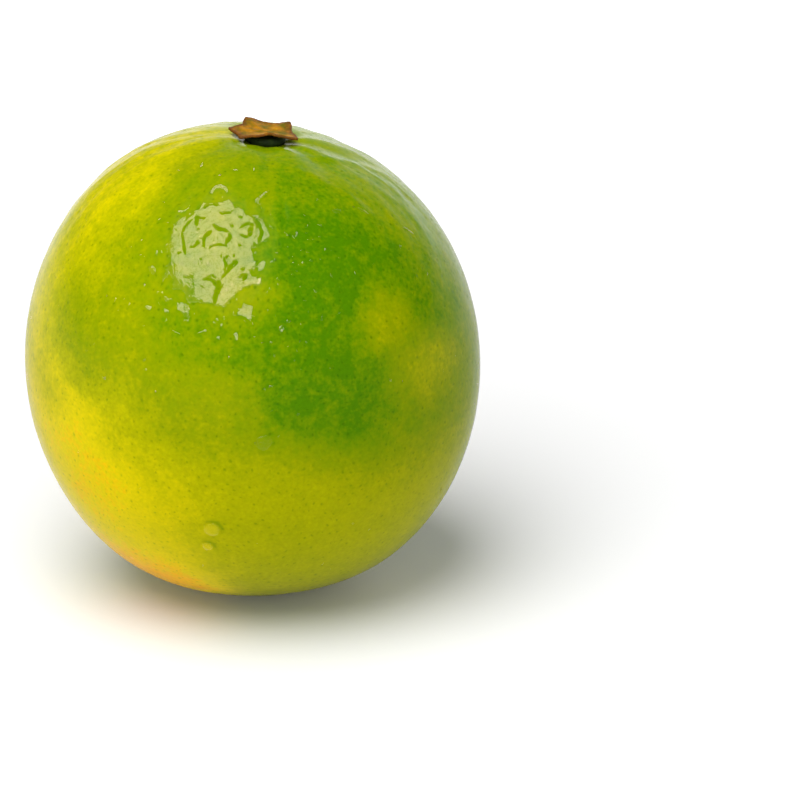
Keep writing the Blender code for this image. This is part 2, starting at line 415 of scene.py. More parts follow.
MOTTLING_RISE = 0.28  # and how much stronger on the upper half
MOTTLING_FADE = (-0.45, 0.25)  # heights between which they grow stronger, of the radius
GREEN_MOTTLING = 0.9  # how much stronger again they are on deep green rind
SPECKLE_SIZE = 0.45  # mm
SPECKLE_STRENGTH = 0.13  # how far the light and dark specks change the brightness
RIND_STOPS = (0.0, 0.19, 0.43, 0.6, 0.73, 0.85, 1.0)  # the ripeness at which each of its colours is pure
GLAND_TINT = linear("#8cb850")  # what an oil gland's oil takes out of the colour round it
GLAND_START = 0.15  # gland strength at which the tint starts
GLAND_DEPTH = 0.6  # share of the tint in the strongest glands
GRAIN_SCALE = 1500.0  # of the wax, per metre: grains about 0.7 mm across, finer than the glands' spacing
GRAIN_DEPTH = 0.01  # mm
WAX_ROUGHNESS = 0.2
DROWNED_ROUGHNESS = 0.8  # the rind doesn't mirror under water
WAX_IOR = 1.1  # a thin bloom on the wax mirrors less head on than bare wax, so the gloss is a narrow veil
WAX_TINT = (1.0, 0.95, 0.5, 1.0)  # the bloom's mirror is a little warm

# Relief of the skin. Lumps and streaks are shares of the lump height: what they are all over, how much
# the shoulders add, and how high the streaks are. Each ridge has its height and half its breadth in
# mm, then the azimuths and elevations that it runs through. Each dent has its azimuth and elevation
# in degrees, then its radius and depth in mm.
PLAIN_LUMPS = 0.5
SHOULDER_LUMPS = 1.0
SHOULDER_STREAKS = 3.2
SHOULDER_MIDDLE = math.radians(36)  # from the stem's axis
SHOULDER_REACH = math.radians(24)
LUMP_LAYERS = ((0.11, 1.0, 5.0), (0.05, 0.6, 9.0))  # of the radius
STREAK_SIZES = (0.16, 0.07)  # radians round the stem's axis
STREAK_STRENGTHS = (1.0, 0.6)
STREAK_MIDDLE = math.radians(32)
STREAK_REACH = math.radians(22)
STREAK_STRETCH = 0.35  # how slowly a streak changes along its length, against across it
RIDGES_FROM = 0.3  # height above the centre where the ridges can start, of the radius
RIDGES = (
    (0.14, 0.9, (-60, 79), (-31, 72), (-12, 66), (2, 57), (6, 46)),
    (0.10, 0.8, (-75, 74), (-48, 64), (-40, 54), (-36, 46)),
    (0.10, 0.9, (-30, 66), (-20, 56), (-17, 44), (-18, 34)),
    (0.09, 0.8, (20, 70), (28, 58), (30, 44)),
    (0.09, 0.8, (95, 72), (104, 56), (108, 42)),
    (0.08, 0.8, (165, 70), (158, 56), (152, 44)),
)
DENTS = (
    (-19, 65, 1.2, 0.10),
    (2, 59, 1.2, 0.12),
    (-4, 49, 1.1, 0.12),
    (-18, 48, 0.9, 0.08),
    (-40, 50, 0.9, 0.06),
    (-10, 41, 1.0, 0.09),
    (12, 50, 1.2, 0.10),
    (40, 55, 1.3, 0.09),
    (75, 48, 1.0, 0.08),
    (118, 58, 1.2, 0.08),
    (160, 44, 1.0, 0.06),
)


def gland_net(piece):
    """Scatters the sphere's points, which become the glands, and divides each edge in three."""
    count = len(piece.data.vertices)
    directions = directions_of(points_of(piece.data))
    spacing = math.sqrt(4 * math.pi / count)
    drifts = [noise_field(directions, ROW_DRIFT_SIZE, shift) for shift in ROW_DRIFT_SHIFTS]
    draw = np.random.default_rng(SEED)
    scatter = draw.uniform(-PIT_SCATTER, PIT_SCATTER, directions.shape)
    directions = directions_of(directions + spacing * (ROW_DRIFT * np.stack(drifts, axis=1) + scatter))
    move_points(piece.data, directions)
    bpy.ops.object.mode_set(mode="EDIT")
    bpy.ops.mesh.select_all(action="SELECT")
    bpy.ops.mesh.subdivide(number_cuts=2)
    bpy.ops.object.mode_set(mode="OBJECT")
    return count


def stem_streaks(directions, shift):
    """Long low ridges that run out from the stem end over the shoulders and die away, -1 to 1."""
    from_stem, turn = round_the_stem(directions)
    window = np.exp(-(((from_stem - STREAK_MIDDLE) / STREAK_REACH) ** 2))
    spread = np.stack([np.cos(turn), np.sin(turn), STREAK_STRETCH * from_stem], axis=1)
    layers = zip(STREAK_SIZES, STREAK_STRENGTHS, (shift, shift + 4.0))
    return window * layered_noise(spread, layers)


def ridge_height(directions):
    """The low ridges that run from the stem end over the shoulders."""
    height = np.zeros(len(directions))
    upper = directions[:, 2] > RIDGES_FROM
    for rise, breadth, *places in RIDGES:
        line = smooth_line([unit(azimuth, elevation) for azimuth, elevation in places]) * WIDTH / 2
        away, along = distance_to_line(directions[upper] * WIDTH / 2, line)
        fade = np.sin(np.pi * np.clip(along, 0.0, 1.0)) ** 0.5
        height[upper] += rise * MM * fade * np.exp(-((away / (breadth * MM)) ** 2))
    return height


def dent_depth(directions):
    """The shallow round dents of the shoulders."""
    depth = np.zeros(len(directions))
    for azimuth, elevation, radius, deep in DENTS:
        away = np.arccos(np.clip(directions @ unit(azimuth, elevation), -1.0, 1.0)) * WIDTH / 2
        depth += deep * MM * np.exp(-((away / (radius * MM)) ** 2))
    return depth


def lump_height(directions):
    """Low lumps of the skin, with the streaks, the ridges and the dents of the shoulders."""
    from_stem, _ = round_the_stem(directions)
    shoulder = np.exp(-(((from_stem - SHOULDER_MIDDLE) / SHOULDER_REACH) ** 2))
    lumps = (PLAIN_LUMPS + SHOULDER_LUMPS * shoulder) * layered_noise(directions, LUMP_LAYERS)
    rises = lumps + SHOULDER_STREAKS * stem_streaks(directions, 23.0)
    height = bpy.context.scene.orange_rind.lump_height * rises
    return height + ridge_height(directions) - dent_depth(directions)


def rind_points(directions, pit_depths):
    """Points of the rind, measured from the fruit's centre."""
    radius = smooth_radius(directions) + lump_height(directions) - pit_depths
    points = directions * radius[:, None]
    drop = foot_drop()
    beside = np.hypot(points[:, 0], points[:, 1])
    in_foot = (points[:, 2] < 0) & (beside < FOOT_RADIUS * FOOT_MARGIN)
    points[:, 2] = np.where(in_foot, -drop, np.maximum(points[:, 2], -drop))
    scar = SCAR_DEPTH * (1.0 - smooth_step(beside, 0.3 * SCAR_RADIUS, SCAR_RADIUS))
    points[:, 2] += np.where(in_foot, scar, 0.0)
    return points


def ripeness(directions):
    """How far the rind has turned, 0 deep green to 1 golden orange, with the painted light and shade under
    the low drops added.
    """
    azimuth = np.degrees(np.arctan2(directions[:, 1], directions[:, 0]))
    elevation = np.degrees(np.arcsin(np.clip(directions[:, 2], -1.0, 1.0)))
    stray, climb = (layered_noise(directions, layers) for layers in EDGE_STRAYS)
    azimuth += EDGE_WANDER * stray / np.maximum(np.hypot(directions[:, 0], directions[:, 1]), 0.2)
    elevation += EDGE_WANDER * climb
    ripe = np.full(len(directions), BARE_RIPENESS)
    for (middle, height), (half_breadth, half_height), softness, turned in PATCHES:
        beside = (azimuth - middle + 180.0) % 360.0 - 180.0
        out = np.hypot(beside / half_breadth, (elevation - height) / half_height)
        over = 1.0 - smooth_step(out, 1.0 - softness / 2, 1.0 + softness / 2)
        ripe += over * (turned - ripe)
    return ripe + STREAK_RIPENESS * stem_streaks(directions, 37.0) + light_under_drops(directions)


def light_under_drops(directions):
    """Painted light and shade under the low drops, added to how far the rind has turned: brighter inside,
    where a drop gathers light, and painted shade at its upper right.
    """
    change = np.zeros(len(directions))
    for azimuth, elevation, radius in LOW_DROPS:
        middle = unit(azimuth, elevation)
        right = rightward(middle)
        corner = (right + np.cross(middle, right)) / math.sqrt(2)
        away = np.arccos(np.clip(directions @ middle, -1.0, 1.0)) * FILM_REACH / radius
        change += DROP_GLOW * (1.0 - smooth_step(away, *DROP_GLOW_FADE))
        towards = np.clip(directions @ corner * FILM_REACH / radius, 0.0, 1.0)
        change -= DROP_SHADE * towards * np.exp(-(((away - DROP_SHADE_MIDDLE) / DROP_SHADE_BREADTH) ** 2))
    return change


def mottling(directions, ripe):
    """How strongly the rind is mottled: more where it is green, and least towards the blossom end."""
    upper = MOTTLING_LOW + MOTTLING_RISE * smooth_step(directions[:, 2], *MOTTLING_FADE)
    return upper * (1.0 + GREEN_MOTTLING * (1.0 - smooth_step(ripe, 0.0, 0.5)))


class RindSettings(bpy.types.PropertyGroup):
    """Relief and colours of the rind, the colours in the order in which it ripens"""

    pit_depth: FloatProperty(
        name="Pit depth",
        description="How deep an oil gland's pit is",
        default=0.07 * MM,
        min=0.0,
        max=0.3 * MM,
        **IN_MM,
    )
    lump_height: FloatProperty(
        name="Lump height",
        description="How far the skin's low lumps rise, which break up what it mirrors",
        default=0.045 * MM,
        min=0.0,
        max=0.5 * MM,
        **IN_MM,
    )
    deep_green: FloatVectorProperty(
        name="Deep green",
        description="Rind that is still green",
        subtype="COLOR",
        default=linear("#457200"),
    )
    leaf_green: FloatVectorProperty(
        name="Leaf green",
        description="Rind that starts to turn",
        subtype="COLOR",
        default=linear("#628000"),
    )
    olive: FloatVectorProperty(
        name="Olive", description="Rind half turned", subtype="COLOR", default=linear("#818d00")
    )
    lime_yellow: FloatVectorProperty(
        name="Lime yellow",
        description="Rind more than half turned",
        subtype="COLOR",
        default=linear("#9f9f00"),
    )
    yellow: FloatVectorProperty(
        name="Yellow", description="Rind nearly turned", subtype="COLOR", default=linear("#bcb100")
    )
    gold: FloatVectorProperty(
        name="Gold",
        description="Rind that the sun has ripened",
        subtype="COLOR",
        default=linear("#cebc00"),
    )
    orange: FloatVectorProperty(
        name="Orange", description="Rind fully turned", subtype="COLOR", default=linear("#e6aa00")
    )


def rind_pigment(tree, place, ripe, mottled):
    """Colour of the rind by how far it has turned, with the painted light and shade under the low drops,
    broken up by mottles of several sizes.
    """
    uneven = 0.0
    for size, strength in MOTTLES:
        blots = node(
            tree, "ShaderNodeTexNoise", {}, {"Vector": place, "Scale": 1.0 / (size * MM), "Detail": 2.0}
        )
        strengths = {"Value": blots.outputs["Fac"], "To Min": -strength, "To Max": strength}
        share = node(tree, "ShaderNodeMapRange", {}, strengths)
        uneven = node(tree, "ShaderNodeMath", {}, {0: uneven, 1: share.outputs["Result"]}).outputs[0]
    total = node(tree, "ShaderNodeMath", {"operation": "MULTIPLY_ADD"}, {0: uneven, 1: mottled, 2: ripe})
    sizes = bpy.context.scene.orange_rind
    colours = (
        sizes.deep_green,
        sizes.leaf_green,
        sizes.olive,
        sizes.lime_yellow,
        sizes.yellow,
        sizes.gold,
        sizes.orange,
    )
    stops = tuple(zip(RIND_STOPS, colours))
    return node(tree, "ShaderNodeValToRGB", {"stops": stops}, {"Fac": total.outputs[0]}).outputs["Color"]


def rind_material():
    """Citrus rind, waxy: pigment in patches, dark oil glands, and a gloss that the pits break up."""
    made, tree, shader = start_material("citrus_rind")
    place = node(tree, "ShaderNodeTexCoord").outputs["Object"]
    ripe, mottled, gland, wet = (
        node(tree, "ShaderNodeAttribute", {"attribute_name": name}).outputs["Fac"]
        for name in ("ripeness", "mottled", "gland", "wet")
    )
    pigment = rind_pigment(tree, place, ripe, mottled)
    dark = node(
        tree,
        "ShaderNodeMapRange",
        {"interpolation_type": "SMOOTHSTEP"},
        {"Value": gland, "From Min": GLAND_START, "From Max": 1.0, "To Min": 0.0, "To Max": GLAND_DEPTH},
    )
    colour = node(
        tree,
        "ShaderNodeMix",
        {"data_type": "RGBA", "blend_type": "MULTIPLY"},
        {0: dark.outputs["Result"], 6: pigment, 7: (*GLAND_TINT, 1.0)},
    )
    speckle_scale = 1.0 / (SPECKLE_SIZE * MM)
    specks = node(tree, "ShaderNodeTexNoise", {}, {"Vector": place, "Scale": speckle_scale, "Detail": 1.0})
    brightness = node(
        tree,
        "ShaderNodeMapRange",
        {},
        {
            "Value": specks.outputs["Fac"],
            "To Min": 1.0 - SPECKLE_STRENGTH,
            "To Max": 1.0 + SPECKLE_STRENGTH,
        },
    )
    speckled = node(
        tree,
        "ShaderNodeHueSaturation",
        {},
        {"Value": brightness.outputs["Result"], "Color": colour.outputs[2]},
    )
    tree.links.new(speckled.outputs["Color"], shader.inputs["Base Color"])
    grain = node(tree, "ShaderNodeTexNoise", {}, {"Vector": place, "Scale": GRAIN_SCALE, "Detail": 2.0})
    bump = node(
        tree,
        "ShaderNodeBump",
        {},
        {"Height": grain.outputs["Fac"], "Distance": GRAIN_DEPTH * MM, "Strength": 0.6},
    )
    tree.links.new(bump.outputs["Normal"], shader.inputs["Normal"])
    roughness = node(
        tree,
        "ShaderNodeMapRange",
        {},
        {"Value": wet, "To Min": WAX_ROUGHNESS, "To Max": DROWNED_ROUGHNESS},
    )
    tree.links.new(roughness.outputs["Result"], shader.inputs["Roughness"])
    shader.inputs["IOR"].default_value = WAX_IOR
    shader.inputs["Specular IOR Level"].default_value = 0.5
    shader.inputs["Specular Tint"].default_value = WAX_TINT
    return made


class AddRind(bpy.types.Operator):
    """Adds the pitted rind over the fruit's solid"""

    bl_idname = "orange.add_rind"
    bl_label = "Add rind"

    def execute(self, context):
        deselect_all()
        bpy.ops.mesh.primitive_ico_sphere_add(subdivisions=PITS_FINENESS, radius=1.0)
        piece = context.object
        glands = gland_net(piece)
        directions = directions_of(points_of(piece.data))
        draw = np.random.default_rng(SEED + 1)
        strength = np.zeros(len(directions))
        least, added = PIT_STRENGTH
        strength[:glands] = least + added * draw.uniform(0.0, 1.0, glands) ** PIT_STRENGTH_POWER
        from_stem, _ = round_the_stem(directions)
        pits = context.scene.orange_rind.pit_depth * strength * smooth_step(from_stem, *PITS_START)
        move_points(piece.data, rind_points(directions, pits) + CENTRE)
        # ripe holds how far the rind has turned, with the painted light and shade under the low drops
        # added
        ripe = ripeness(directions)
        add_attribute(piece.data, "ripeness", ripe)
        add_attribute(piece.data, "mottled", mottling(directions, ripe))
        add_attribute(piece.data, "gland", strength)
        add_attribute(piece.data, "wet", wetness(directions))
        piece.data.shade_smooth()
        finish_piece(piece, "rind", rind_material(), replaced="fruit")
        return {"FINISHED"}


# Calyx and stalk. Both are shaped about the stem's axis, from the level of the stem end's crown.
CALYX_STEPS_ROUND = 180
CALYX_STEPS_OUT = 16
STALK_STEPS_ROUND = 72
CALYX_THICKNESS = 0.34 * MM
STAR_EYE = 0.03 * MM  # radius of the speck in the middle that the sepals leave open
RIM_RAG = 0.14 * MM  # how far the rim is ragged, half as far at the tips
RIM_RAG_SIZE = 0.16  # of the calyx's radius
WRINKLE_LAYERS = ((1.5 * MM, 1.0, 2.0), (0.6 * MM, 0.5, 7.0))
WRINKLES_START = 0.3  # of the way out to the rim, where the wrinkles have grown to their full height
SEPAL_ARCH = 0.12 * MM  # how far a sepal arches between its foot and its tip
KNOB_SIZE = 1.1 * MM  # of the uneven side of the stalk's disc
KNOB_HEIGHT = 0.03  # of its radius
KNOBS_START = (0.3 * MM, 1.0 * MM)  # from the axis
# Patterns per metre: olive blotches 1.4 mm across, sepal fibres 0.4 mm and stalk pores 0.6 mm apart.
BLOTCH_SCALE = 700.0
FIBRE_SCALE = 2600.0
PORE_SCALE = 1800.0
FIBRE_DEPTH = 0.05 * MM
PORE_DEPTH = 0.06 * MM
CRISP_FIBRES = 0.6  # how far the fibres break up the line of the crisp edge
CRISP_FADE = (1.0, 1.3)  # where the crisp edge starts and is full: the way out plus the fibres
CRISP_DEPTH = 0.85  # share of the edge's colour where it is full


def place_at_stem(points):
    """Moves points from the stem's own frame to the fruit."""
    rows = leaning(STEM_LEAN)
    return CENTRE + rows[2] * crown_height() + points @ rows


def star_rim(turns):
    """How far the calyx's rim is from the axis and above the crown, and how near a tip, 0 to 1."""
    corners = []
    for points, tip in ((SEPAL_TIPS, 1.0), (SEPAL_VALLEYS, 0.0)):
        corners += [(math.radians(azimuth) % (2 * math.pi), out, up, tip) for azimuth, out, up in points]
    corners.sort()
    corners = [(corners[-1][0] - 2 * math.pi, *corners[-1][1:])] + corners
    corners.append((corners[1][0] + 2 * math.pi, *corners[1][1:]))
    found = np.zeros((len(turns), 3))
    for number, turn in enumerate(turns % (2 * math.pi)):
        for (start, *low), (end, *high) in zip(corners, corners[1:]):
            if start <= turn <= end:
                share = (turn - start) / (end - start)
                to_tip = share if high[2] else 1.0 - share
                bent = to_tip**SEPAL_POINTEDNESS
                share = bent if high[2] else 1.0 - bent
                found[number] = np.array(low) + share * (np.array(high) - np.array(low))
    found[:, :2] *= MM
    return found


class PlantSettings(bpy.types.PropertyGroup):
    """Relief and colours of the calyx and the stalk; the stalk's colours hold painted shade"""

    wrinkle: FloatProperty(
        name="Wrinkles",
        description="How high the dried calyx's wrinkles are",
        default=0.13 * MM,
        min=0.0,
        max=0.5 * MM,
        **IN_MM,
    )
    sepal_colour: FloatVectorProperty(
        name="Dried sepal",
        description="Blade of a dried sepal",
        subtype="COLOR",
        default=linear("#a06c04"),
    )
    sepal_shade: FloatVectorProperty(
        name="Sepal shade",
        description="Where a sepal is still olive",
        subtype="COLOR",
        default=linear("#5e5600"),
    )
    sepal_light: FloatVectorProperty(
        name="Sepal light",
        description="Where a sepal has bleached",
        subtype="COLOR",
        default=linear("#b99420"),
    )
    sepal_edge: FloatVectorProperty(
        name="Sepal edge",
        description="Crisp edge of a sepal",
        subtype="COLOR",
        default=linear("#5e3010"),
    )
    # painted shade: the disc's two colours are green darkened nearly to black, for the shade it sits in
    # under the calyx
    stalk_green_and_shade: FloatVectorProperty(
        name="Stalk",
        description="Green disc under the calyx",
        subtype="COLOR",
        default=linear("#16240a"),
    )
    stalk_fleck_and_shade: FloatVectorProperty(
        name="Stalk light",
        description="Paler flecks of the disc",
        subtype="COLOR",
        default=linear("#26380c"),
    )


def sepal_material():
    """Dried sepal: papery and matt, ochre with olive blotches, red-brown where its edge has crisped."""
    settings = bpy.context.scene.orange_plant
    made, tree, shader = start_material("dried_sepal")
    place = node(tree, "ShaderNodeTexCoord").outputs["Object"]
    edge = node(tree, "ShaderNodeAttribute", {"attribute_name": "edge"}).outputs["Fac"]
    blotches, fibres = (
        node(tree, "ShaderNodeTexNoise", {}, {"Vector": place, "Scale": scale, "Detail": 3.0})
        for scale in (BLOTCH_SCALE, FIBRE_SCALE)
    )
    stops = ((0.35, settings.sepal_shade), (0.6, settings.sepal_colour), (0.8, settings.sepal_light))
    blade = node(tree, "ShaderNodeValToRGB", {"stops": stops}, {"Fac": blotches.outputs["Fac"]})
    crisp = node(
        tree,
        "ShaderNodeMath",
        {"operation": "MULTIPLY_ADD"},
        {0: fibres.outputs["Fac"], 1: CRISP_FIBRES, 2: edge},
    )
    share = node(
        tree,
        "ShaderNodeMapRange",
        {},
        {
            "Value": crisp.outputs[0],
            "From Min": CRISP_FADE[0],
            "From Max": CRISP_FADE[1],
            "To Max": CRISP_DEPTH,
        },
    )
    colour = node(
        tree,
        "ShaderNodeMix",
        {"data_type": "RGBA"},
        {0: share.outputs["Result"], 6: blade.outputs["Color"], 7: (*settings.sepal_edge, 1.0)},
    )
    tree.links.new(colour.outputs[2], shader.inputs["Base Color"])
    bump = node(tree, "ShaderNodeBump", {}, {"Height": fibres.outputs["Fac"], "Distance": FIBRE_DEPTH})
    tree.links.new(bump.outputs["Normal"], shader.inputs["Normal"])
    shader.inputs["Roughness"].default_value = 0.65
    shader.inputs["Specular IOR Level"].default_value = 0.1
    return made


def stalk_material():
    """Living stalk: green bark with a dull gloss and fine pores, its colours darkened nearly to black by
    painted shade, for the shade it sits in under the calyx.
    """
    settings = bpy.context.scene.orange_plant
    made, tree, shader = start_material("green_stalk")
    place = node(tree, "ShaderNodeTexCoord").outputs["Object"]
    pores = node(tree, "ShaderNodeTexNoise", {}, {"Vector": place, "Scale": PORE_SCALE, "Detail": 2.0})
    stops = ((0.3, settings.stalk_green_and_shade), (0.7, settings.stalk_fleck_and_shade))
    bark = node(tree, "ShaderNodeValToRGB", {"stops": stops}, {"Fac": pores.outputs["Fac"]})
    tree.links.new(bark.outputs["Color"], shader.inputs["Base Color"])
    bump = node(tree, "ShaderNodeBump", {}, {"Height": pores.outputs["Fac"], "Distance": PORE_DEPTH})
    tree.links.new(bump.outputs["Normal"], shader.inputs["Normal"])
    shader.inputs["Roughness"].default_value = 0.75
    shader.inputs["Specular IOR Level"].default_value = 0.2
    return made


class AddCalyx(bpy.types.Operator):
    """Adds the dried star of sepals over the calyx's solid"""

    bl_idname = "orange.add_calyx"
    bl_label = "Add calyx"

    def execute(self, context):
        deselect_all()
        bpy.ops.mesh.primitive_circle_add(vertices=CALYX_STEPS_ROUND, radius=1.0, fill_type="NOTHING")
        piece = context.object
        bpy.ops.object.mode_set(mode="EDIT")
        bpy.ops.mesh.select_all(action="SELECT")
        for step in range(CALYX_STEPS_OUT):
            bpy.ops.mesh.extrude_region_move()
            grow = (step + 2.0) / (step + 1.0)
            bpy.ops.transform.resize(value=(grow, grow, 1.0))
        bpy.ops.mesh.select_all(action="SELECT")
        bpy.ops.mesh.normals_make_consistent(inside=False)
        bpy.ops.object.mode_set(mode="OBJECT")
        flat = points_of(piece.data)
        turns = np.arctan2(flat[:, 1], flat[:, 0])
        share = np.clip((np.hypot(flat[:, 0], flat[:, 1]) - 1.0) / CALYX_STEPS_OUT, 0.0, 1.0)
        rim_out, rim_up, to_tip = star_rim(turns).T
        ring = level_points(np.column_stack([np.cos(turns), np.sin(turns)]))
        rim_out = rim_out + RIM_RAG * noise_field(ring, RIM_RAG_SIZE, 5.0) * (1.0 - 0.5 * to_tip)
        out = STAR_EYE + (rim_out - STAR_EYE) * share
        rise = CALYX_CENTRE_HEIGHT + (rim_up - CALYX_CENTRE_HEIGHT) * share**SEPAL_CURL
        across = ring * out[:, None]
        wrinkles = layered_noise(across, WRINKLE_LAYERS) * smooth_step(share, 0.0, WRINKLES_START)
        rise += context.scene.orange_plant.wrinkle * wrinkles
        rise += SEPAL_ARCH * to_tip**2 * np.sin(np.pi * share)
        across[:, 2] = rise
        move_points(piece.data, place_at_stem(across))
        add_attribute(piece.data, "edge", share)
        blade = piece.modifiers.new("blade", "SOLIDIFY")
        blade.thickness = CALYX_THICKNESS
        bpy.ops.object.modifier_apply(modifier=blade.name)
        piece.data.shade_smooth()
        finish_piece(piece, "sepals", sepal_material(), replaced="calyx")
        return {"FINISHED"}


class AddStalk(bpy.types.Operator):
    """Adds the green disc of the stalk over the stem button's solid"""

    bl_idname = "orange.add_stalk"
    bl_label = "Add stalk"

    def execute(self, context):
        deselect_all()
        seat = FIT_GAP - HOLLOW_DEPTH
        under = CALYX_CENTRE_HEIGHT - CALYX_THICKNESS
        (radius, height), *others = (
            (0.8 * DISC_RADIUS, seat),
            (0.95 * DISC_RADIUS, seat + 0.15 * MM),
            (DISC_RADIUS, 0.6 * seat + 0.4 * under),
            (DISC_RADIUS, 0.3 * seat + 0.7 * under),
            (0.93 * DISC_RADIUS, under - 0.15 * MM),
            (0.8 * DISC_RADIUS, under - 0.05 * MM),
            (STUB_RADIUS, under - 0.03 * MM),
            (0.5 * STUB_RADIUS, under - 0.02 * MM),
            (0.1 * STUB_RADIUS, under - 0.02 * MM),
        )
        bpy.ops.mesh.primitive_circle_add(
            vertices=STALK_STEPS_ROUND, radius=radius, fill_type="NGON", location=(0, 0, height)
        )
        piece = context.object
        bpy.ops.object.mode_set(mode="EDIT")
        bpy.ops.mesh.select_all(action="SELECT")
        for next_radius, next_height in others:
            rise = (0.0, 0.0, next_height - height)
            bpy.ops.mesh.extrude_region_move(TRANSFORM_OT_translate={"value": rise})
            bpy.ops.transform.resize(value=(next_radius / radius, next_radius / radius, 1.0))
            radius, height = next_radius, next_height
        bpy.ops.mesh.select_all(action="SELECT")
        bpy.ops.mesh.normals_make_consistent(inside=False)
        bpy.ops.object.mode_set(mode="OBJECT")
        bpy.ops.object.transform_apply(location=True, rotation=True, scale=True)
        local = points_of(piece.data)
        out = np.hypot(local[:, 0], local[:, 1])
        knobs = noise_field(local, KNOB_SIZE, 4.0) * smooth_step(out, *KNOBS_START)
        local[:, :2] *= (1.0 + KNOB_HEIGHT * knobs)[:, None]
        move_points(piece.data, place_at_stem(local))
        piece.data.shade_smooth()
        finish_piece(piece, "stalk", stalk_material(), replaced="stem_button")
        return {"FINISHED"}


# Water. It lies in a film where the light strikes, mapped in mm to the right and up from the film's
# middle on a plane that touches the rind there.
FILM_MIDDLE = unit(-99, 44)
FILM_RIGHT = rightward(FILM_MIDDLE)
FILM_UP = np.cross(FILM_MIDDLE, FILM_RIGHT)
FILM_REACH = 35.0  # mm from the fruit's centre to the plane
FILM_CELL = 0.078  # mm
FILM_SINK = 0.05  # mm that its edge goes below the rind, so that the edge seen is where it comes out
FILM_LIFT = 1.3  # of the sink, by which the film inside its edge is lifted again
FILM_BASE = 0.12  # mm from the rind down to its underside
FILM_START = -0.12  # mm outside its outline, where its rounded edge starts to rise
FILM_EDGE = 0.3  # mm inside its outline, where the edge is at its full height
FILM_RAG = 0.5  # mm that its edge strays
FILM_NEAR = 0.85  # cosine of the angle from its middle within which the rind may be under it
RAG_LAYERS = ((1.3, 1.0, 31.0), (0.55, 0.6, 37.0))  # mm, shares of the rag
SWELL_SIZE = 2.6  # mm, of the gentle waves of the film's top
SWELL = 0.1  # of its thickness
GAP_LAYERS = ((0.5, 0.05, 43.0), (0.22, 0.04, 47.0))  # mm, and the mm that a gap's sides stray
GAP_EDGE = 0.08  # mm from a gap's bottom up to the film's top
GAP_BOTTOM = 0.8  # share of a gap's breadth over which it is at its deepest
GAP_END = 0.08  # mm, half the breadth below which a gap grows shallow
GAP_NARROWING = 0.75  # of the breadths listed below, because water creeps in from both sides
GAP_TAPER = 0.12  # share of a gap's length over which each end narrows
POCK_SIZE = 0.8  # mm, of the small round holes in the film
POCK_FADE = (0.5, 0.62)  # of the noise that makes them: where one starts, and where it is at its deepest
POCK_DEPTH = 0.85  # of the film's thickness
WET_FADE = (-0.6, 0.3)  # mm inside the film's outline, where the rind under it goes from dry to wet
SHALLOW_FADE = (0.1, 0.5)  # of the greatest height, below which water is shallow
FILM_OUTLINE = (
    (-8.0, 2.4), (-8.1, 4.2), (-7.6, 5.3), (-6.5, 6.4), (-5.2, 7.2), (-4.3, 8.0), (-3.6, 9.0),
    (-2.3, 9.2), (-1.1, 9.2), (-0.3, 9.7), (0.5, 9.5), (1.1, 8.6), (2.2, 8.2), (3.4, 7.4), (4.5, 7.6),
    (5.5, 7.0), (6.3, 5.9), (6.7, 4.4), (6.4, 3.2), (5.3, 2.5), (4.9, 1.7), (4.9, 0.5), (5.3, -0.6),
    (5.0, -1.5), (5.3, -2.2), (6.4, -2.5), (6.2, -3.6), (4.9, -4.3), (3.8, -4.8), (2.8, -5.7),
    (2.1, -6.6), (1.3, -7.3), (0.3, -7.2), (-1.6, -7.2), (-3.3, -7.3), (-4.2, -6.6), (-5.1, -5.5),
    (-6.7, -4.9), (-7.0, -4.2), (-6.9, -3.6), (-7.4, -2.6), (-8.0, -1.5), (-7.7, -0.5), (-7.5, 0.4),
    (-8.1, 1.7),
)
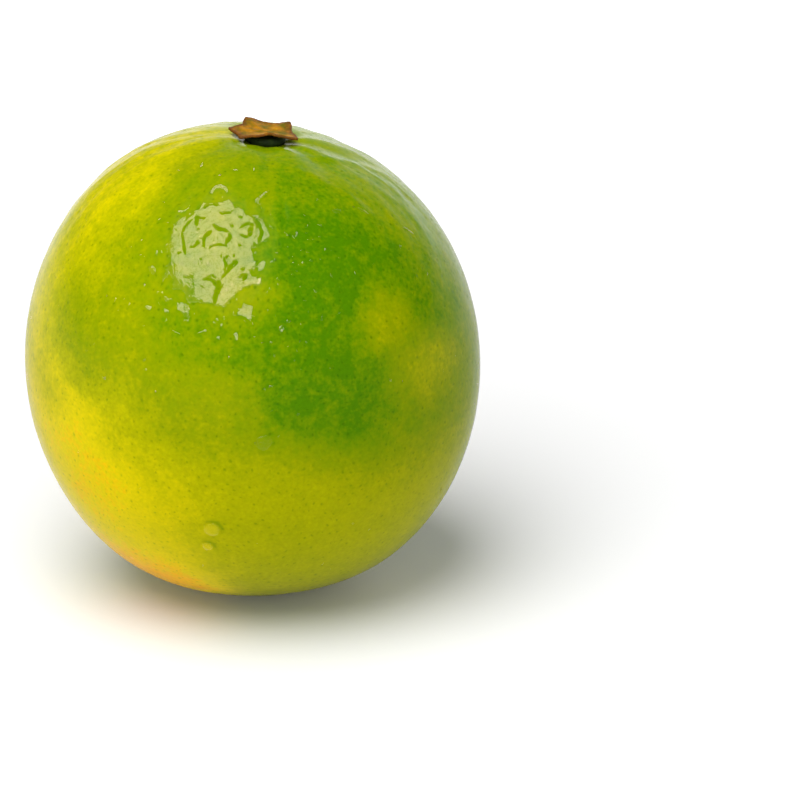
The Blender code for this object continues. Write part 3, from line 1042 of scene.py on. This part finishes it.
# Lines along which the film has parted: mm to the right, mm up, then half of the gap's breadth.
FILM_GAPS = (
    (
        (-5.0, 0.0, 0.09), (-5.3, 1.4, 0.20), (-5.6, 2.6, 0.09), (-5.9, 3.9, 0.09), (-5.3, 5.2, 0.23),
        (-4.6, 5.8, 0.09),
    ),
    ((-4.0, 4.7, 0.09), (-4.0, 5.5, 0.26), (-4.1, 6.3, 0.23), (-3.5, 6.1, 0.17), (-2.7, 6.1, 0.07)),
    ((-2.2, 1.3, 0.11), (-2.5, 2.1, 0.20), (-2.3, 3.1, 0.34), (-1.9, 3.7, 0.29), (-1.5, 4.1, 0.09)),
    ((-1.6, 5.2, 0.09), (-1.1, 4.8, 0.14), (-0.6, 4.4, 0.40), (0.2, 4.2, 0.29), (0.9, 3.8, 0.14)),
    ((0.9, 3.8, 0.14), (1.2, 3.3, 0.23), (1.0, 2.6, 0.37), (0.7, 2.1, 0.26)),
    ((-1.6, 1.1, 0.09), (-1.2, 1.6, 0.13), (-0.4, 1.8, 0.14), (0.4, 1.8, 0.14), (1.0, 1.7, 0.09)),
    ((2.3, 4.5, 0.07), (2.9, 5.2, 0.17), (3.6, 5.6, 0.23), (4.4, 5.4, 0.09)),
    ((4.0, 5.2, 0.29), (4.0, 4.4, 0.40), (3.9, 3.4, 0.20)),
    ((3.9, 3.4, 0.11), (3.2, 3.4, 0.14), (2.5, 3.6, 0.09)),
    ((-4.5, 1.6, 0.11), (-4.1, 1.4, 0.17), (-3.6, 1.6, 0.14), (-3.3, 2.0, 0.26), (-3.6, 2.4, 0.11)),
    ((2.1, 0.4, 0.11), (2.1, 0.0, 0.14)),
    ((1.5, 0.2, 0.14), (0.9, -0.1, 0.17), (0.9, -0.7, 0.14), (1.2, -1.2, 0.14), (0.9, -2.4, 0.07)),
    ((2.9, -0.5, 0.14), (2.4, -0.8, 0.46), (1.9, -1.4, 0.43), (1.3, -2.4, 0.17), (0.6, -3.5, 0.11)),
    ((-2.1, -3.7, 0.11), (-1.3, -3.4, 0.23), (-0.8, -3.5, 0.26), (-0.3, -3.9, 0.26), (0.1, -4.3, 0.29)),
    ((-1.4, -3.1, 0.06), (-0.7, -2.9, 0.09), (0.1, -3.3, 0.09)),
    ((0.4, -3.4, 0.23), (0.4, -4.3, 0.46), (0.4, -5.1, 0.49), (0.1, -5.9, 0.34), (0.1, -7.2, 0.23)),
    ((-3.9, -7.1, 0.11), (-3.3, -7.3, 0.20), (-1.0, -7.2, 0.17), (0.1, -7.2, 0.26)),
    ((-3.4, 7.8, 0.11), (-2.8, 8.5, 0.20), (-2.1, 8.7, 0.20), (-1.1, 8.4, 0.17)),
    ((-0.9, 7.2, 0.11), (0.0, 7.2, 0.20), (0.9, 7.2, 0.11)),
    ((2.0, 6.7, 0.11), (2.6, 6.5, 0.14)),
    ((-2.1, -4.6, 0.29), (-1.9, -4.5, 0.29)),
    ((-4.9, -3.3, 0.09), (-3.5, -3.2, 0.09)),
    ((-6.2, 0.4, 0.11), (-5.6, 0.5, 0.11)),
    ((-7.0, 4.1, 0.14), (-6.9, 4.2, 0.14)),
    ((4.2, -2.3, 0.34), (3.9, -3.3, 0.32)),
    ((2.6, 1.9, 0.17), (2.9, 2.1, 0.17)),
    (
        (3.4, 7.3, 0.05), (4.3, 6.8, 0.12), (5.0, 5.9, 0.14), (5.5, 4.8, 0.20), (5.6, 3.8, 0.25),
        (5.3, 2.8, 0.3),
    ),
)
# Small patches of water round the film, as outlines on its plane.
PATCH_CELL = 0.06  # mm
PATCH_MARGIN = 2.5 * PATCH_CELL  # how far a patch's sheet goes on past its outline, under the rind
PATCH_START = -0.05  # mm outside its outline, where its edge starts to rise
PATCH_EDGE = 0.1  # mm inside it, where the edge is at its full height
PATCH_DEPTH = 0.1  # mm
PATCH_TURN = 6.5  # mm from the film's middle, beyond which a patch tilts towards the light it mirrors
PATCHES_OF_WATER = (
    (
        (3.4, -8.4), (4.0, -7.3), (4.3, -6.3), (4.9, -6.8), (5.8, -7.0), (5.8, -8.2), (5.7, -9.5),
        (4.6, -8.8),
    ),
    (
        (5.9, 12.3), (5.2, 11.0), (4.8, 10.3), (4.8, 9.4), (5.3, 8.6), (4.6, 8.7), (4.2, 9.4),
        (3.7, 10.2), (4.3, 10.7), (4.8, 11.6), (5.4, 12.2),
    ),
    ((6.1, -0.1), (6.7, 0.1), (6.8, -0.9), (6.3, -1.6), (5.8, -1.7), (5.7, -0.9)),
    ((-8.3, -3.0), (-7.4, -2.0), (-7.0, -2.6), (-7.8, -3.5), (-8.0, -4.2)),
    (
        (-3.1, 10.9), (-2.8, 12.0), (-1.9, 12.7), (-0.8, 12.4), (-0.2, 11.5), (-0.5, 10.9),
        (-1.1, 11.6), (-1.7, 11.8), (-2.2, 11.5), (-2.5, 10.7),
    ),
    (
        (-5.7, -8.1), (-5.3, -7.0), (-4.3, -7.2), (-3.5, -7.9), (-3.8, -8.9), (-3.7, -9.5),
        (-4.4, -9.1), (-5.1, -8.4),
    ),
    ((-7.4, 7.5), (-6.9, 7.8), (-6.3, 7.7), (-5.6, 8.6), (-5.5, 8.2), (-6.1, 7.3), (-7.0, 7.2)),
    ((-9.9, 0.9), (-9.5, 1.2), (-9.3, 0.6), (-9.6, 0.2)),
    ((-10.8, -1.5), (-9.9, -1.2), (-9.3, -2.1), (-9.8, -2.7), (-10.5, -2.2)),
    ((-8.0, -6.0), (-7.4, -6.0), (-7.1, -6.5), (-7.7, -6.8)),
    ((-7.0, -6.4), (-6.4, -6.3), (-6.4, -6.7), (-6.9, -6.7)),
    ((-7.9, -7.9), (-7.1, -8.1), (-6.8, -8.6), (-7.7, -8.6)),
    ((-11.2, -7.6), (-10.0, -7.4), (-9.8, -8.1), (-10.6, -8.3)),
    ((-2.3, -11.6), (-1.6, -11.2), (-0.8, -11.0), (-0.9, -11.4), (-1.6, -11.6), (-2.2, -11.8)),
    ((-0.1, -9.8), (0.3, -9.6), (0.6, -9.9), (0.1, -10.1)),
    ((0.6, -12.5), (1.0, -11.7), (1.4, -12.5)),
    ((3.2, -11.5), (3.8, -11.0), (4.2, -11.9), (4.0, -12.6), (3.5, -12.4)),
    ((10.3, -10.3), (11.3, -9.6), (11.1, -10.3), (10.6, -10.8)),
    ((-6.4, -11.3), (-5.1, -11.7), (-5.4, -12.0), (-6.3, -11.6)),
    ((1.0, -10.1), (1.6, -9.8), (1.5, -10.4), (1.2, -10.5)),
    ((10.6, 4.7), (10.7, 5.8), (11.1, 5.5), (10.9, 4.9)),
    ((-6.1, 17.6), (-5.8, 18.7), (-5.4, 18.3), (-5.7, 17.4)),
    ((-0.5, 16.5), (-0.1, 17.0), (0.4, 16.8), (0.4, 16.5)),
    ((2.6, 17.8), (2.9, 17.9), (3.1, 17.0), (2.8, 16.9)),
    ((6.3, -2.5), (6.5, -2.9), (6.1, -3.7), (5.8, -3.4)),
)
# Drops: azimuth and elevation in degrees, radius in mm.
LOW_DROPS = ((-100, -26, 1.35), (-102, -32, 0.95))
OTHER_DROPS = ((-86, -1, 1.35), (-168, 0, 0.6))
DROP_GLOW = 0.1  # painted light: how much riper the rind is painted where a low drop gathers light on it
DROP_GLOW_FADE = (0.5, 1.1)  # from the drop's middle, of its radius
DROP_SHADE = 0.25  # painted shade: how much greener the rind is painted at the drop's upper right
DROP_SHADE_MIDDLE = 1.15  # from the drop's middle, of its radius
DROP_SHADE_BREADTH = 0.25  # of its radius
# Dashes of water: azimuth and elevation of each one's middle, how far it is turned from level, all
# in degrees, then half its length and half its breadth in mm.
DASHES = (
    (-66.5, 51.7, 60, 0.55, 0.26),
    (-72.5, 49.2, 15, 0.75, 0.28),
    (-68.3, 47.8, 5, 0.3, 0.2),
    (-63.4, 44.9, 80, 0.5, 0.3),
    (-72.0, 45.3, 30, 0.3, 0.2),
    (-69.5, 42.4, 20, 0.4, 0.25),
    (-62.3, 51.1, -50, 0.4, 0.22),
    (-66.8, 54.3, 90, 0.25, 0.2),
    (-72.2, 42.2, 40, 0.3, 0.2),
    (-52.4, 53.9, -25, 0.8, 0.5),
    (-41.0, 52.3, -55, 1.6, 0.3),
    (-25.5, 43.3, -50, 1.5, 0.3),
    (-80.9, 26.9, 35, 0.6, 0.35),
    (-69.5, 28.4, 75, 0.6, 0.22),
)
SCATTERED_DASHES = 230
SCATTERED_LENGTH = (0.14, 0.42)  # half the length, mm
SCATTERED_BREADTH = (0.45, 0.9)  # of the length
SCATTERED_NEAR_LIGHT = 0.6  # share of them that lie round the film
NEAR_LIGHT_AZIMUTH = (-93, 21)  # mean and spread, degrees
NEAR_LIGHT_ELEVATION = (40, 14)
ELSEWHERE_HEIGHT = (-0.7, 0.93)  # of the radius
HIGHEST_DASH = 76  # degrees of elevation, below the calyx
DROP_STEPS = (28, 14)  # faces round a drop, and rings of them from pole to pole
DASH_STEPS = (12, 8)
DROP_RISE = 0.34  # of the radius
DROP_SINK = 0.12  # of half the breadth, for drops that are too small for the film's sink
DROP_WAVES = ((2, 0.09), (3, 0.05))  # how many waves go round a drop's edge, and how far each swings it
RIPPLE_SIZE = 0.6  # mm
RIPPLE_HEIGHT = 0.018  # mm
RIPPLE_MIRROR = (0.6, 1.25)  # how far the ripples dim and brighten what the water mirrors
DROP_MIRROR = 0.01  # share of the light that the flat drops mirror head on
WATER_MIRROR = 0.037  # share of the light that the rest of the water mirrors head on
MIRROR_TINT = (1.0, 0.72, 0.66, 1.0)  # warm, so that with the green below it makes a pale straw
SHALLOW_PAINTED_SHADE = (0.78, 0.88, 0.65, 1.0)  # painted shade on what is seen through shallow water, for the light that the water bends aside there


def film_directions(spots):
    """Directions from the fruit's centre to spots on the film's plane."""
    return directions_of(FILM_MIDDLE * FILM_REACH + spots[:, :1] * FILM_RIGHT + spots[:, 1:2] * FILM_UP)


def film_spots(directions):
    """Where directions from the fruit's centre meet the film's plane, and whether they do so near it."""
    ahead = directions @ FILM_MIDDLE
    reach = directions * (FILM_REACH / np.maximum(ahead, 0.5))[:, None]
    return np.stack([reach @ FILM_RIGHT, reach @ FILM_UP], axis=1), ahead > FILM_NEAR


def edge_distance(spots, outline):
    """Distance to the outline, above zero inside it."""
    edge, _ = distance_to_line(spots, outline, closed=True)
    return np.where(inside(spots, outline), edge, -edge)


def film_height(spots, outline, gaps, thickness):
    """Height of the film above the rind, in mm."""
    flat = level_points(spots)
    stray = FILM_RAG * layered_noise(flat, RAG_LAYERS)
    rise = smooth_step(edge_distance(spots, outline) + stray, FILM_START, FILM_EDGE)
    height = thickness * (1.0 + SWELL * noise_field(flat, SWELL_SIZE, 3.0)) * rise
    wander = layered_noise(flat, GAP_LAYERS)
    for gap in gaps:
        line = smooth_line(gap, steps=2)
        distance, along = distance_to_line(spots, line[:, :2])
        taper = np.clip(np.minimum(along, 1.0 - along) / GAP_TAPER, 0.0, 1.0)
        half = GAP_NARROWING * taper * np.interp(along, np.linspace(0, 1, len(line)), line[:, 2])
        parted = 1.0 - smooth_step(distance + wander, half * GAP_BOTTOM, half + GAP_EDGE)
        height *= 1.0 - parted * smooth_step(half, 0.0, GAP_END)
    pocks = smooth_step(noise_field(flat, POCK_SIZE, 53.0), *POCK_FADE)
    return height * (1.0 - POCK_DEPTH * pocks) + FILM_SINK * (FILM_LIFT * rise - 1.0)


def patch_height(spots, outline, _gaps, _thickness):
    """Height above the rind of a patch, in mm; far from the film it tilts up on its outer side."""
    middle = outline.mean(axis=0)
    away = np.hypot(*middle)
    tilt = middle / FILM_REACH * max(0.0, 1.0 - PATCH_TURN / away)
    leant = (spots - middle) @ tilt
    rise = smooth_step(edge_distance(spots, outline), PATCH_START, PATCH_EDGE)
    return rise * (PATCH_DEPTH + leant - leant.min()) - FILM_SINK


def wetness(directions):
    """Where the rind is under the film, 1, or not, 0."""
    spots, near = film_spots(directions)
    wet = np.zeros(len(directions))
    edge = edge_distance(spots[near], smooth_line(FILM_OUTLINE, closed=True))
    wet[near] = smooth_step(edge, *WET_FADE)
    return wet


class WaterSettings(bpy.types.PropertyGroup):
    """Depth of the water on the rind"""

    thickness: FloatProperty(
        name="Film thickness",
        description="How high the water film stands on the rind",
        default=0.15 * MM,
        min=0.05 * MM,
        max=1.0 * MM,
        **IN_MM,
    )


def water_material(name, share):
    """Clear water on wax: it mirrors a share of the light and lets the rind's colour through.

    Where it is shallow, at its edges and partings, what is seen through it carries a painted shade for the
    light that the water bends aside, and it mirrors less.
    """
    made, tree, shader = start_material(name)
    tree.nodes.remove(shader)
    facing = node(tree, "ShaderNodeLayerWeight", {}, {"Blend": 0.5}).outputs["Facing"]
    grazing = node(tree, "ShaderNodeMath", {"operation": "POWER"}, {0: facing, 1: 5.0})
    mirrored = node(tree, "ShaderNodeMapRange", {}, {"Value": grazing.outputs[0], "To Min": share})
    shallow = node(tree, "ShaderNodeAttribute", {"attribute_name": "shallow"}).outputs["Fac"]
    deep = node(tree, "ShaderNodeMath", {"operation": "SUBTRACT"}, {0: 1.0, 1: shallow})
    place = node(tree, "ShaderNodeTexCoord").outputs["Object"]
    ripple_scale = 1.0 / (RIPPLE_SIZE * MM)
    ripples = node(tree, "ShaderNodeTexNoise", {}, {"Vector": place, "Scale": ripple_scale, "Detail": 3.0})
    broken = node(
        tree,
        "ShaderNodeMapRange",
        {},
        {
            "Value": ripples.outputs["Fac"],
            "From Min": 0.3,
            "From Max": 0.7,
            "To Min": RIPPLE_MIRROR[0],
            "To Max": RIPPLE_MIRROR[1],
        },
    )
    mirror_share = mirrored.outputs["Result"]
    for factor in (deep.outputs[0], broken.outputs["Result"]):
        product = node(tree, "ShaderNodeMath", {"operation": "MULTIPLY"}, {0: mirror_share, 1: factor})
        mirror_share = product.outputs[0]
    shaded = node(
        tree,
        "ShaderNodeMix",
        {"data_type": "RGBA"},
        {0: shallow, 6: (1.0, 1.0, 1.0, 1.0), 7: SHALLOW_PAINTED_SHADE},
    )
    through = node(tree, "ShaderNodeBsdfTransparent", {}, {"Color": shaded.outputs[2]})
    bump = node(
        tree, "ShaderNodeBump", {}, {"Height": ripples.outputs["Fac"], "Distance": RIPPLE_HEIGHT * MM}
    )
    mirror = node(
        tree,
        "ShaderNodeBsdfGlossy",
        {},
        {"Color": MIRROR_TINT, "Roughness": 0.04, "Normal": bump.outputs["Normal"]},
    )
    mixed = node(
        tree,
        "ShaderNodeMixShader",
        {},
        {0: mirror_share, 1: through.outputs[0], 2: mirror.outputs[0]},
    )
    tree.links.new(mixed.outputs[0], tree.nodes["Material Output"].inputs["Surface"])
    return made


def water_sheet(outline, gaps, cell, margin, height_of):
    """A closed sheet of water over an outline on the film's plane, as high as the function says."""
    deselect_all()
    outline = smooth_line(outline, closed=True)
    low, high = outline.min(axis=0) - margin, outline.max(axis=0) + margin
    columns, rows = (int(count) for count in np.ceil((high - low) / cell))
    bpy.ops.mesh.primitive_grid_add(x_subdivisions=columns, y_subdivisions=rows, size=1.0)
    piece = bpy.context.object
    spots = low + (points_of(piece.data)[:, :2] + 0.5) * (high - low)
    move_points(piece.data, level_points(spots))
    outside = edge_distance(spots, outline) < -margin
    bpy.ops.object.mode_set(mode="EDIT")
    bpy.ops.mesh.select_mode(type="VERT")
    bpy.ops.mesh.select_all(action="DESELECT")
    bpy.ops.object.mode_set(mode="OBJECT")
    piece.data.vertices.foreach_set("select", outside)
    bpy.ops.object.mode_set(mode="EDIT")
    bpy.ops.mesh.delete(type="VERT")
    bpy.ops.object.mode_set(mode="OBJECT")
    depth = piece.modifiers.new("depth", "SOLIDIFY")
    depth.thickness = 1.0
    bpy.ops.object.modifier_apply(modifier=depth.name)
    flat = points_of(piece.data)
    spots = flat[:, :2]
    directions = film_directions(spots)
    top = height_of(spots, outline, gaps, bpy.context.scene.orange_water.thickness / MM)
    height = np.where(flat[:, 2] > -0.5, top, -FILM_BASE)
    radius = smooth_radius(directions) + lump_height(directions) + height * MM
    move_points(piece.data, directions * radius[:, None] + CENTRE)
    start, end = SHALLOW_FADE
    add_attribute(piece.data, "shallow", 1.0 - smooth_step(top, start * top.max(), end * top.max()))
    piece.data.shade_smooth()
    return piece


def plain_cap(segments, rings):
    """Half a ball, closed below, that drops are copied from."""
    deselect_all()
    bpy.ops.mesh.primitive_uv_sphere_add(segments=segments, ring_count=rings, radius=1.0)
    cap = bpy.context.object
    bpy.ops.object.mode_set(mode="EDIT")
    bpy.ops.mesh.select_all(action="SELECT")
    bpy.ops.mesh.bisect(plane_co=(0, 0, 0), plane_no=(0, 0, 1), clear_inner=True, use_fill=True)
    bpy.ops.object.mode_set(mode="OBJECT")
    cap.data.shade_smooth()
    return cap


def drop_copy(cap, azimuth, elevation, turned, half_length, half_breadth, draw):
    """A copy of the plain cap, drawn out and laid on the rind as a drop."""
    up = unit(azimuth, elevation)
    right = rightward(up)
    ahead = np.cross(up, right)
    turned = math.radians(turned)
    along = right * math.cos(turned) + ahead * math.sin(turned)
    across = ahead * math.cos(turned) - right * math.sin(turned)
    made = bpy.data.objects.new("drop", cap.data.copy())
    bpy.context.scene.collection.objects.link(made)
    flat = points_of(made.data)
    turn = np.arctan2(flat[:, 1], flat[:, 0])
    edge = 1.0
    for count, swing in DROP_WAVES:
        edge = edge + swing * np.sin(count * turn + draw.uniform(0, 6.3))
    beside = flat[:, :2] * edge[:, None] * (half_length, half_breadth)
    directions = directions_of(up * FILM_REACH + beside[:, :1] * along + beside[:, 1:] * across)
    sink = min(FILM_SINK, DROP_SINK * half_breadth)
    height = DROP_RISE * half_breadth * flat[:, 2] ** 2 - sink
    distance = smooth_radius(directions) + lump_height(directions) + height * MM
    move_points(made.data, directions * distance[:, None] + CENTRE)
    return made


def join(pieces):
    """Joins the pieces into one mesh."""
    deselect_all()
    for piece in pieces:
        piece.select_set(True)
    bpy.context.view_layer.objects.active = pieces[0]
    bpy.ops.object.join()
    return pieces[0]


def scattered_dashes(draw):
    """Small dashes of water, closer together round the film than elsewhere."""
    for _ in range(SCATTERED_DASHES):
        if draw.uniform() < SCATTERED_NEAR_LIGHT:
            azimuth = draw.normal(*NEAR_LIGHT_AZIMUTH)
            elevation = draw.normal(*NEAR_LIGHT_ELEVATION)
        else:
            azimuth = draw.uniform(-180, 180)
            elevation = math.degrees(math.asin(draw.uniform(*ELSEWHERE_HEIGHT)))
        half_length = draw.uniform(*SCATTERED_LENGTH)
        turned = draw.uniform(-90, 90)
        half_breadth = half_length * draw.uniform(*SCATTERED_BREADTH)
        yield azimuth, min(elevation, HIGHEST_DASH), turned, half_length, half_breadth


class AddWater(bpy.types.Operator):
    """Adds the film of water, the patches round it, the drops and the dashes"""

    bl_idname = "orange.add_water"
    bl_label = "Add water"

    def execute(self, context):
        material = water_material("clear_water", WATER_MIRROR)
        film = water_sheet(FILM_OUTLINE, FILM_GAPS, FILM_CELL, FILM_RAG, film_height)
        finish_piece(film, "water_film", material)
        patches = [
            water_sheet(outline, (), PATCH_CELL, PATCH_MARGIN, patch_height)
            for outline in PATCHES_OF_WATER
        ]
        finish_piece(join(patches), "water_patches", material)
        draw = np.random.default_rng(SEED + 2)
        cap = plain_cap(*DROP_STEPS)
        drops = [
            drop_copy(cap, azimuth, elevation, 0, radius, radius, draw)
            for azimuth, elevation, radius in (*LOW_DROPS, *OTHER_DROPS)
        ]
        bpy.data.objects.remove(cap)
        finish_piece(join(drops), "water_drops", water_material("flat_drops", DROP_MIRROR))
        cap = plain_cap(*DASH_STEPS)
        dashes = [drop_copy(cap, *dash, draw) for dash in (*DASHES, *scattered_dashes(draw))]
        bpy.data.objects.remove(cap)
        finish_piece(join(dashes), "water_dashes", material)
        return {"FINISHED"}


# Stage. The camera looks along +Y from a little above, as in the photograph.
CAMERA_LENS = 200.0
CAMERA_SENSOR = 36.0
CAMERA_DISTANCE = 668.3 * MM
CAMERA_ELEVATION = math.radians(20)
VIEW_ASIDE = 22.09 * MM  # from the fruit's middle to the middle of the picture, towards the right
VIEW_BELOW = 6.50 * MM  # and downwards in the picture
FLOOR_SIZE = 6.0
TABLE_FADE = (0.05, 0.4)  # metres from the fruit over which the table grows brighter
TABLE_TOOTH_SCALE = 900.0  # per metre: the acrylic's fine tooth, drawn as coarse as about 1 mm
TABLE_TOOTH_DEPTH = 0.02 * MM
SOFTBOX_TOWARDS = (-0.205, -0.36, 0.903)  # from the fruit
SOFTBOX_DISTANCE = 0.6
SOFTBOX_HALF_SIZES = (0.25, 0.37)
# The room's white panels: the direction that each lies in, and the cosines of the angles from it
# where its light starts and where it is full.
FILL_TOWARDS = (0.0, -1.0, 0.0)
FILL_FADE = (0.0, 0.5)
BACKDROP_TOWARDS = (0.38, 1.0, 0.1)
BACKDROP_FADE = (0.72, 0.97)
# The sine of the elevation where the low pale wall all round starts to fade, and where it ends.
WALL_FADE = (0.045, 0.12)


class StageSettings(bpy.types.PropertyGroup):
    """Brightness of the lights, and the floor's colour"""

    softbox_light: FloatProperty(
        name="Softbox brightness",
        description="Radiance of the oval softbox overhead",
        default=5.8,
        min=0.0,
    )
    room_light: FloatProperty(
        name="Room brightness", description="Radiance of the dim room around", default=0.1, min=0.0
    )
    wall_light: FloatProperty(
        name="Wall brightness",
        description="Radiance that the low pale wall past the table adds to the room",
        default=0.75,
        min=0.0,
    )
    fill_light: FloatProperty(
        name="Fill brightness", description="Radiance of the white panels in front", default=0.45, min=0.0
    )
    backdrop_light: FloatProperty(
        name="Backdrop brightness",
        description="Radiance of the white backdrop behind",
        default=1.6,
        min=0.0,
    )
    floor_colour: FloatVectorProperty(
        name="Floor", description="Colour of the pale floor", subtype="COLOR", default=linear("#e8e8e8")
    )
    table_light: FloatProperty(
        name="Table brightness",
        description="Radiance of the light that comes up through the floor near the fruit",
        default=0.05,
        min=0.0,
    )
    far_light: FloatProperty(
        name="Far brightness",
        description="Radiance of the light that comes up through the floor all round, further off",
        default=0.9,
        min=0.0,
    )


def floor_material():
    """Opal acrylic of a light table: plain, pale and matt, and lit from below, least under the fruit."""
    made, tree, shader = start_material("opal_acrylic")
    settings = bpy.context.scene.orange_stage
    place = node(tree, "ShaderNodeTexCoord").outputs["Object"]
    tooth = node(tree, "ShaderNodeTexNoise", {}, {"Vector": place, "Scale": TABLE_TOOTH_SCALE})
    bump = node(
        tree, "ShaderNodeBump", {}, {"Height": tooth.outputs["Fac"], "Distance": TABLE_TOOTH_DEPTH}
    )
    tree.links.new(bump.outputs["Normal"], shader.inputs["Normal"])
    shader.inputs["Base Color"].default_value = (*settings.floor_colour, 1.0)
    shader.inputs["Emission Color"].default_value = (1.0, 1.0, 1.0, 1.0)
    away = node(tree, "ShaderNodeVectorMath", {"operation": "LENGTH"}, {0: place})
    glow = node(
        tree,
        "ShaderNodeMapRange",
        {"interpolation_type": "SMOOTHSTEP"},
        {
            "Value": away.outputs["Value"],
            "From Min": TABLE_FADE[0],
            "From Max": TABLE_FADE[1],
            "To Min": settings.table_light,
            "To Max": settings.far_light,
        },
    )
    tree.links.new(glow.outputs["Result"], shader.inputs["Emission Strength"])
    shader.inputs["Roughness"].default_value = 0.9
    shader.inputs["Specular IOR Level"].default_value = 0.2
    return made


def room_world(settings):
    """A dim room with a low pale wall all round, a white backdrop behind and white panels in front."""
    world = bpy.data.worlds.new("pale_room")
    world.use_nodes = True
    tree = world.node_tree
    direction = node(tree, "ShaderNodeTexCoord").outputs["Generated"]
    rise = node(tree, "ShaderNodeSeparateXYZ", {}, {0: direction}).outputs["Z"]
    wall = node(
        tree,
        "ShaderNodeMapRange",
        {"interpolation_type": "SMOOTHSTEP"},
        {
            "Value": rise,
            "From Min": WALL_FADE[0],
            "From Max": WALL_FADE[1],
            "To Min": settings.room_light + settings.wall_light,
            "To Max": settings.room_light,
        },
    )
    level = wall.outputs["Result"]
    for towards, (start, full), radiance in (
        (FILL_TOWARDS, FILL_FADE, settings.fill_light),
        (BACKDROP_TOWARDS, BACKDROP_FADE, settings.backdrop_light),
    ):
        facing = node(
            tree,
            "ShaderNodeVectorMath",
            {"operation": "DOT_PRODUCT"},
            {0: direction, 1: Vector(towards).normalized()},
        )
        share = node(
            tree,
            "ShaderNodeMapRange",
            {"interpolation_type": "SMOOTHSTEP"},
            {"Value": facing.outputs["Value"], "From Min": start, "From Max": full, "To Max": radiance},
        )
        level = node(tree, "ShaderNodeMath", {}, {0: share.outputs["Result"], 1: level}).outputs[0]
    tree.links.new(level, tree.nodes["Background"].inputs["Color"])
    return world


def add_softbox(radiance):
    """An elliptical softbox facing the fruit, with its long side in the upright plane."""
    back = Vector(SOFTBOX_TOWARDS).normalized()
    half_width, half_length = SOFTBOX_HALF_SIZES
    light = bpy.data.lights.new("overhead_softbox", "AREA")
    light.shape = "ELLIPSE"
    light.size = 2 * half_width
    light.size_y = 2 * half_length
    light.energy = radiance * math.pi * math.pi * half_width * half_length
    made = bpy.data.objects.new("overhead_softbox", light)
    bpy.context.scene.collection.objects.link(made)
    side = Vector((1, 0, 0)) - back * back.x
    side.normalize()
    along = back.cross(side)
    made.matrix_world = Matrix((side, along, back)).transposed().to_4x4()
    made.location = Vector(CENTRE) + back * SOFTBOX_DISTANCE


def add_camera():
    """A long lens from a little above, aimed beside the fruit so that it stands left of the middle."""
    camera = bpy.data.objects.new("camera", bpy.data.cameras.new("camera"))
    bpy.context.scene.collection.objects.link(camera)
    camera.data.lens = CAMERA_LENS
    camera.data.sensor_width = CAMERA_SENSOR
    camera.data.clip_start = 0.01
    turn = Matrix.Rotation(math.pi / 2 - CAMERA_ELEVATION, 4, "X")
    seen = turn @ Vector((VIEW_ASIDE, -VIEW_BELOW, CAMERA_DISTANCE))
    middle = Vector((0.0, 0.0, LENGTH / 2))
    camera.matrix_world = Matrix.Translation(middle + seen) @ turn
    return camera


class AddStage(bpy.types.Operator):
    """Adds the pale floor, the room's light, the softbox and the camera"""

    bl_idname = "orange.add_stage"
    bl_label = "Add stage"

    def execute(self, context):
        scene = context.scene
        settings = scene.orange_stage
        deselect_all()
        bpy.ops.mesh.primitive_plane_add(size=FLOOR_SIZE)
        floor = context.object
        floor.name = "light_table"
        floor.data.materials.append(floor_material())
        deselect_all()
        scene.world = room_world(settings)
        add_softbox(settings.softbox_light)
        scene.camera = add_camera()
        scene.view_settings.view_transform = "Standard"
        return {"FINISHED"}


class OrangePanel(bpy.types.Panel):
    """Lists the settings and the steps in order"""

    bl_idname = "ORANGE_PT_build"
    bl_label = "Rock sugar orange"
    bl_space_type = "VIEW_3D"
    bl_region_type = "UI"
    bl_category = "Orange"

    def draw(self, context):
        for group, steps in STEPS:
            box = self.layout.box()
            settings = getattr(context.scene, group)
            for name in settings.bl_rna.properties.keys():
                if name not in ("rna_type", "name"):
                    box.prop(settings, name)
            for step in steps:
                box.operator(step)


STEPS = (
    ("orange_rind", ("orange.add_rind",)),
    ("orange_plant", ("orange.add_calyx", "orange.add_stalk")),
    ("orange_water", ("orange.add_water",)),
    ("orange_stage", ("orange.add_stage",)),
)
SETTINGS = (
    ("orange_rind", RindSettings),
    ("orange_plant", PlantSettings),
    ("orange_water", WaterSettings),
    ("orange_stage", StageSettings),
)
OPERATORS = (AddRind, AddCalyx, AddStalk, AddWater, AddStage)
CLASSES = (*(group for _, group in SETTINGS), *OPERATORS, OrangePanel)


def register():
    """Registers the classes and gives the scene its settings."""
    for made in CLASSES:
        bpy.utils.register_class(made)
    for name, group in SETTINGS:
        setattr(bpy.types.Scene, name, PointerProperty(type=group))


def unregister():
    """Takes the settings and the classes away again."""
    for name, _ in SETTINGS:
        delattr(bpy.types.Scene, name)
    for made in reversed(CLASSES):
        bpy.utils.unregister_class(made)


def main():
    """Builds every piece and the stage in order."""
    register()
    for _, steps in STEPS:
        for step in steps:
            family, name = step.split(".")
            getattr(getattr(bpy.ops, family), name)()


if __name__ == "__main__":
    main()
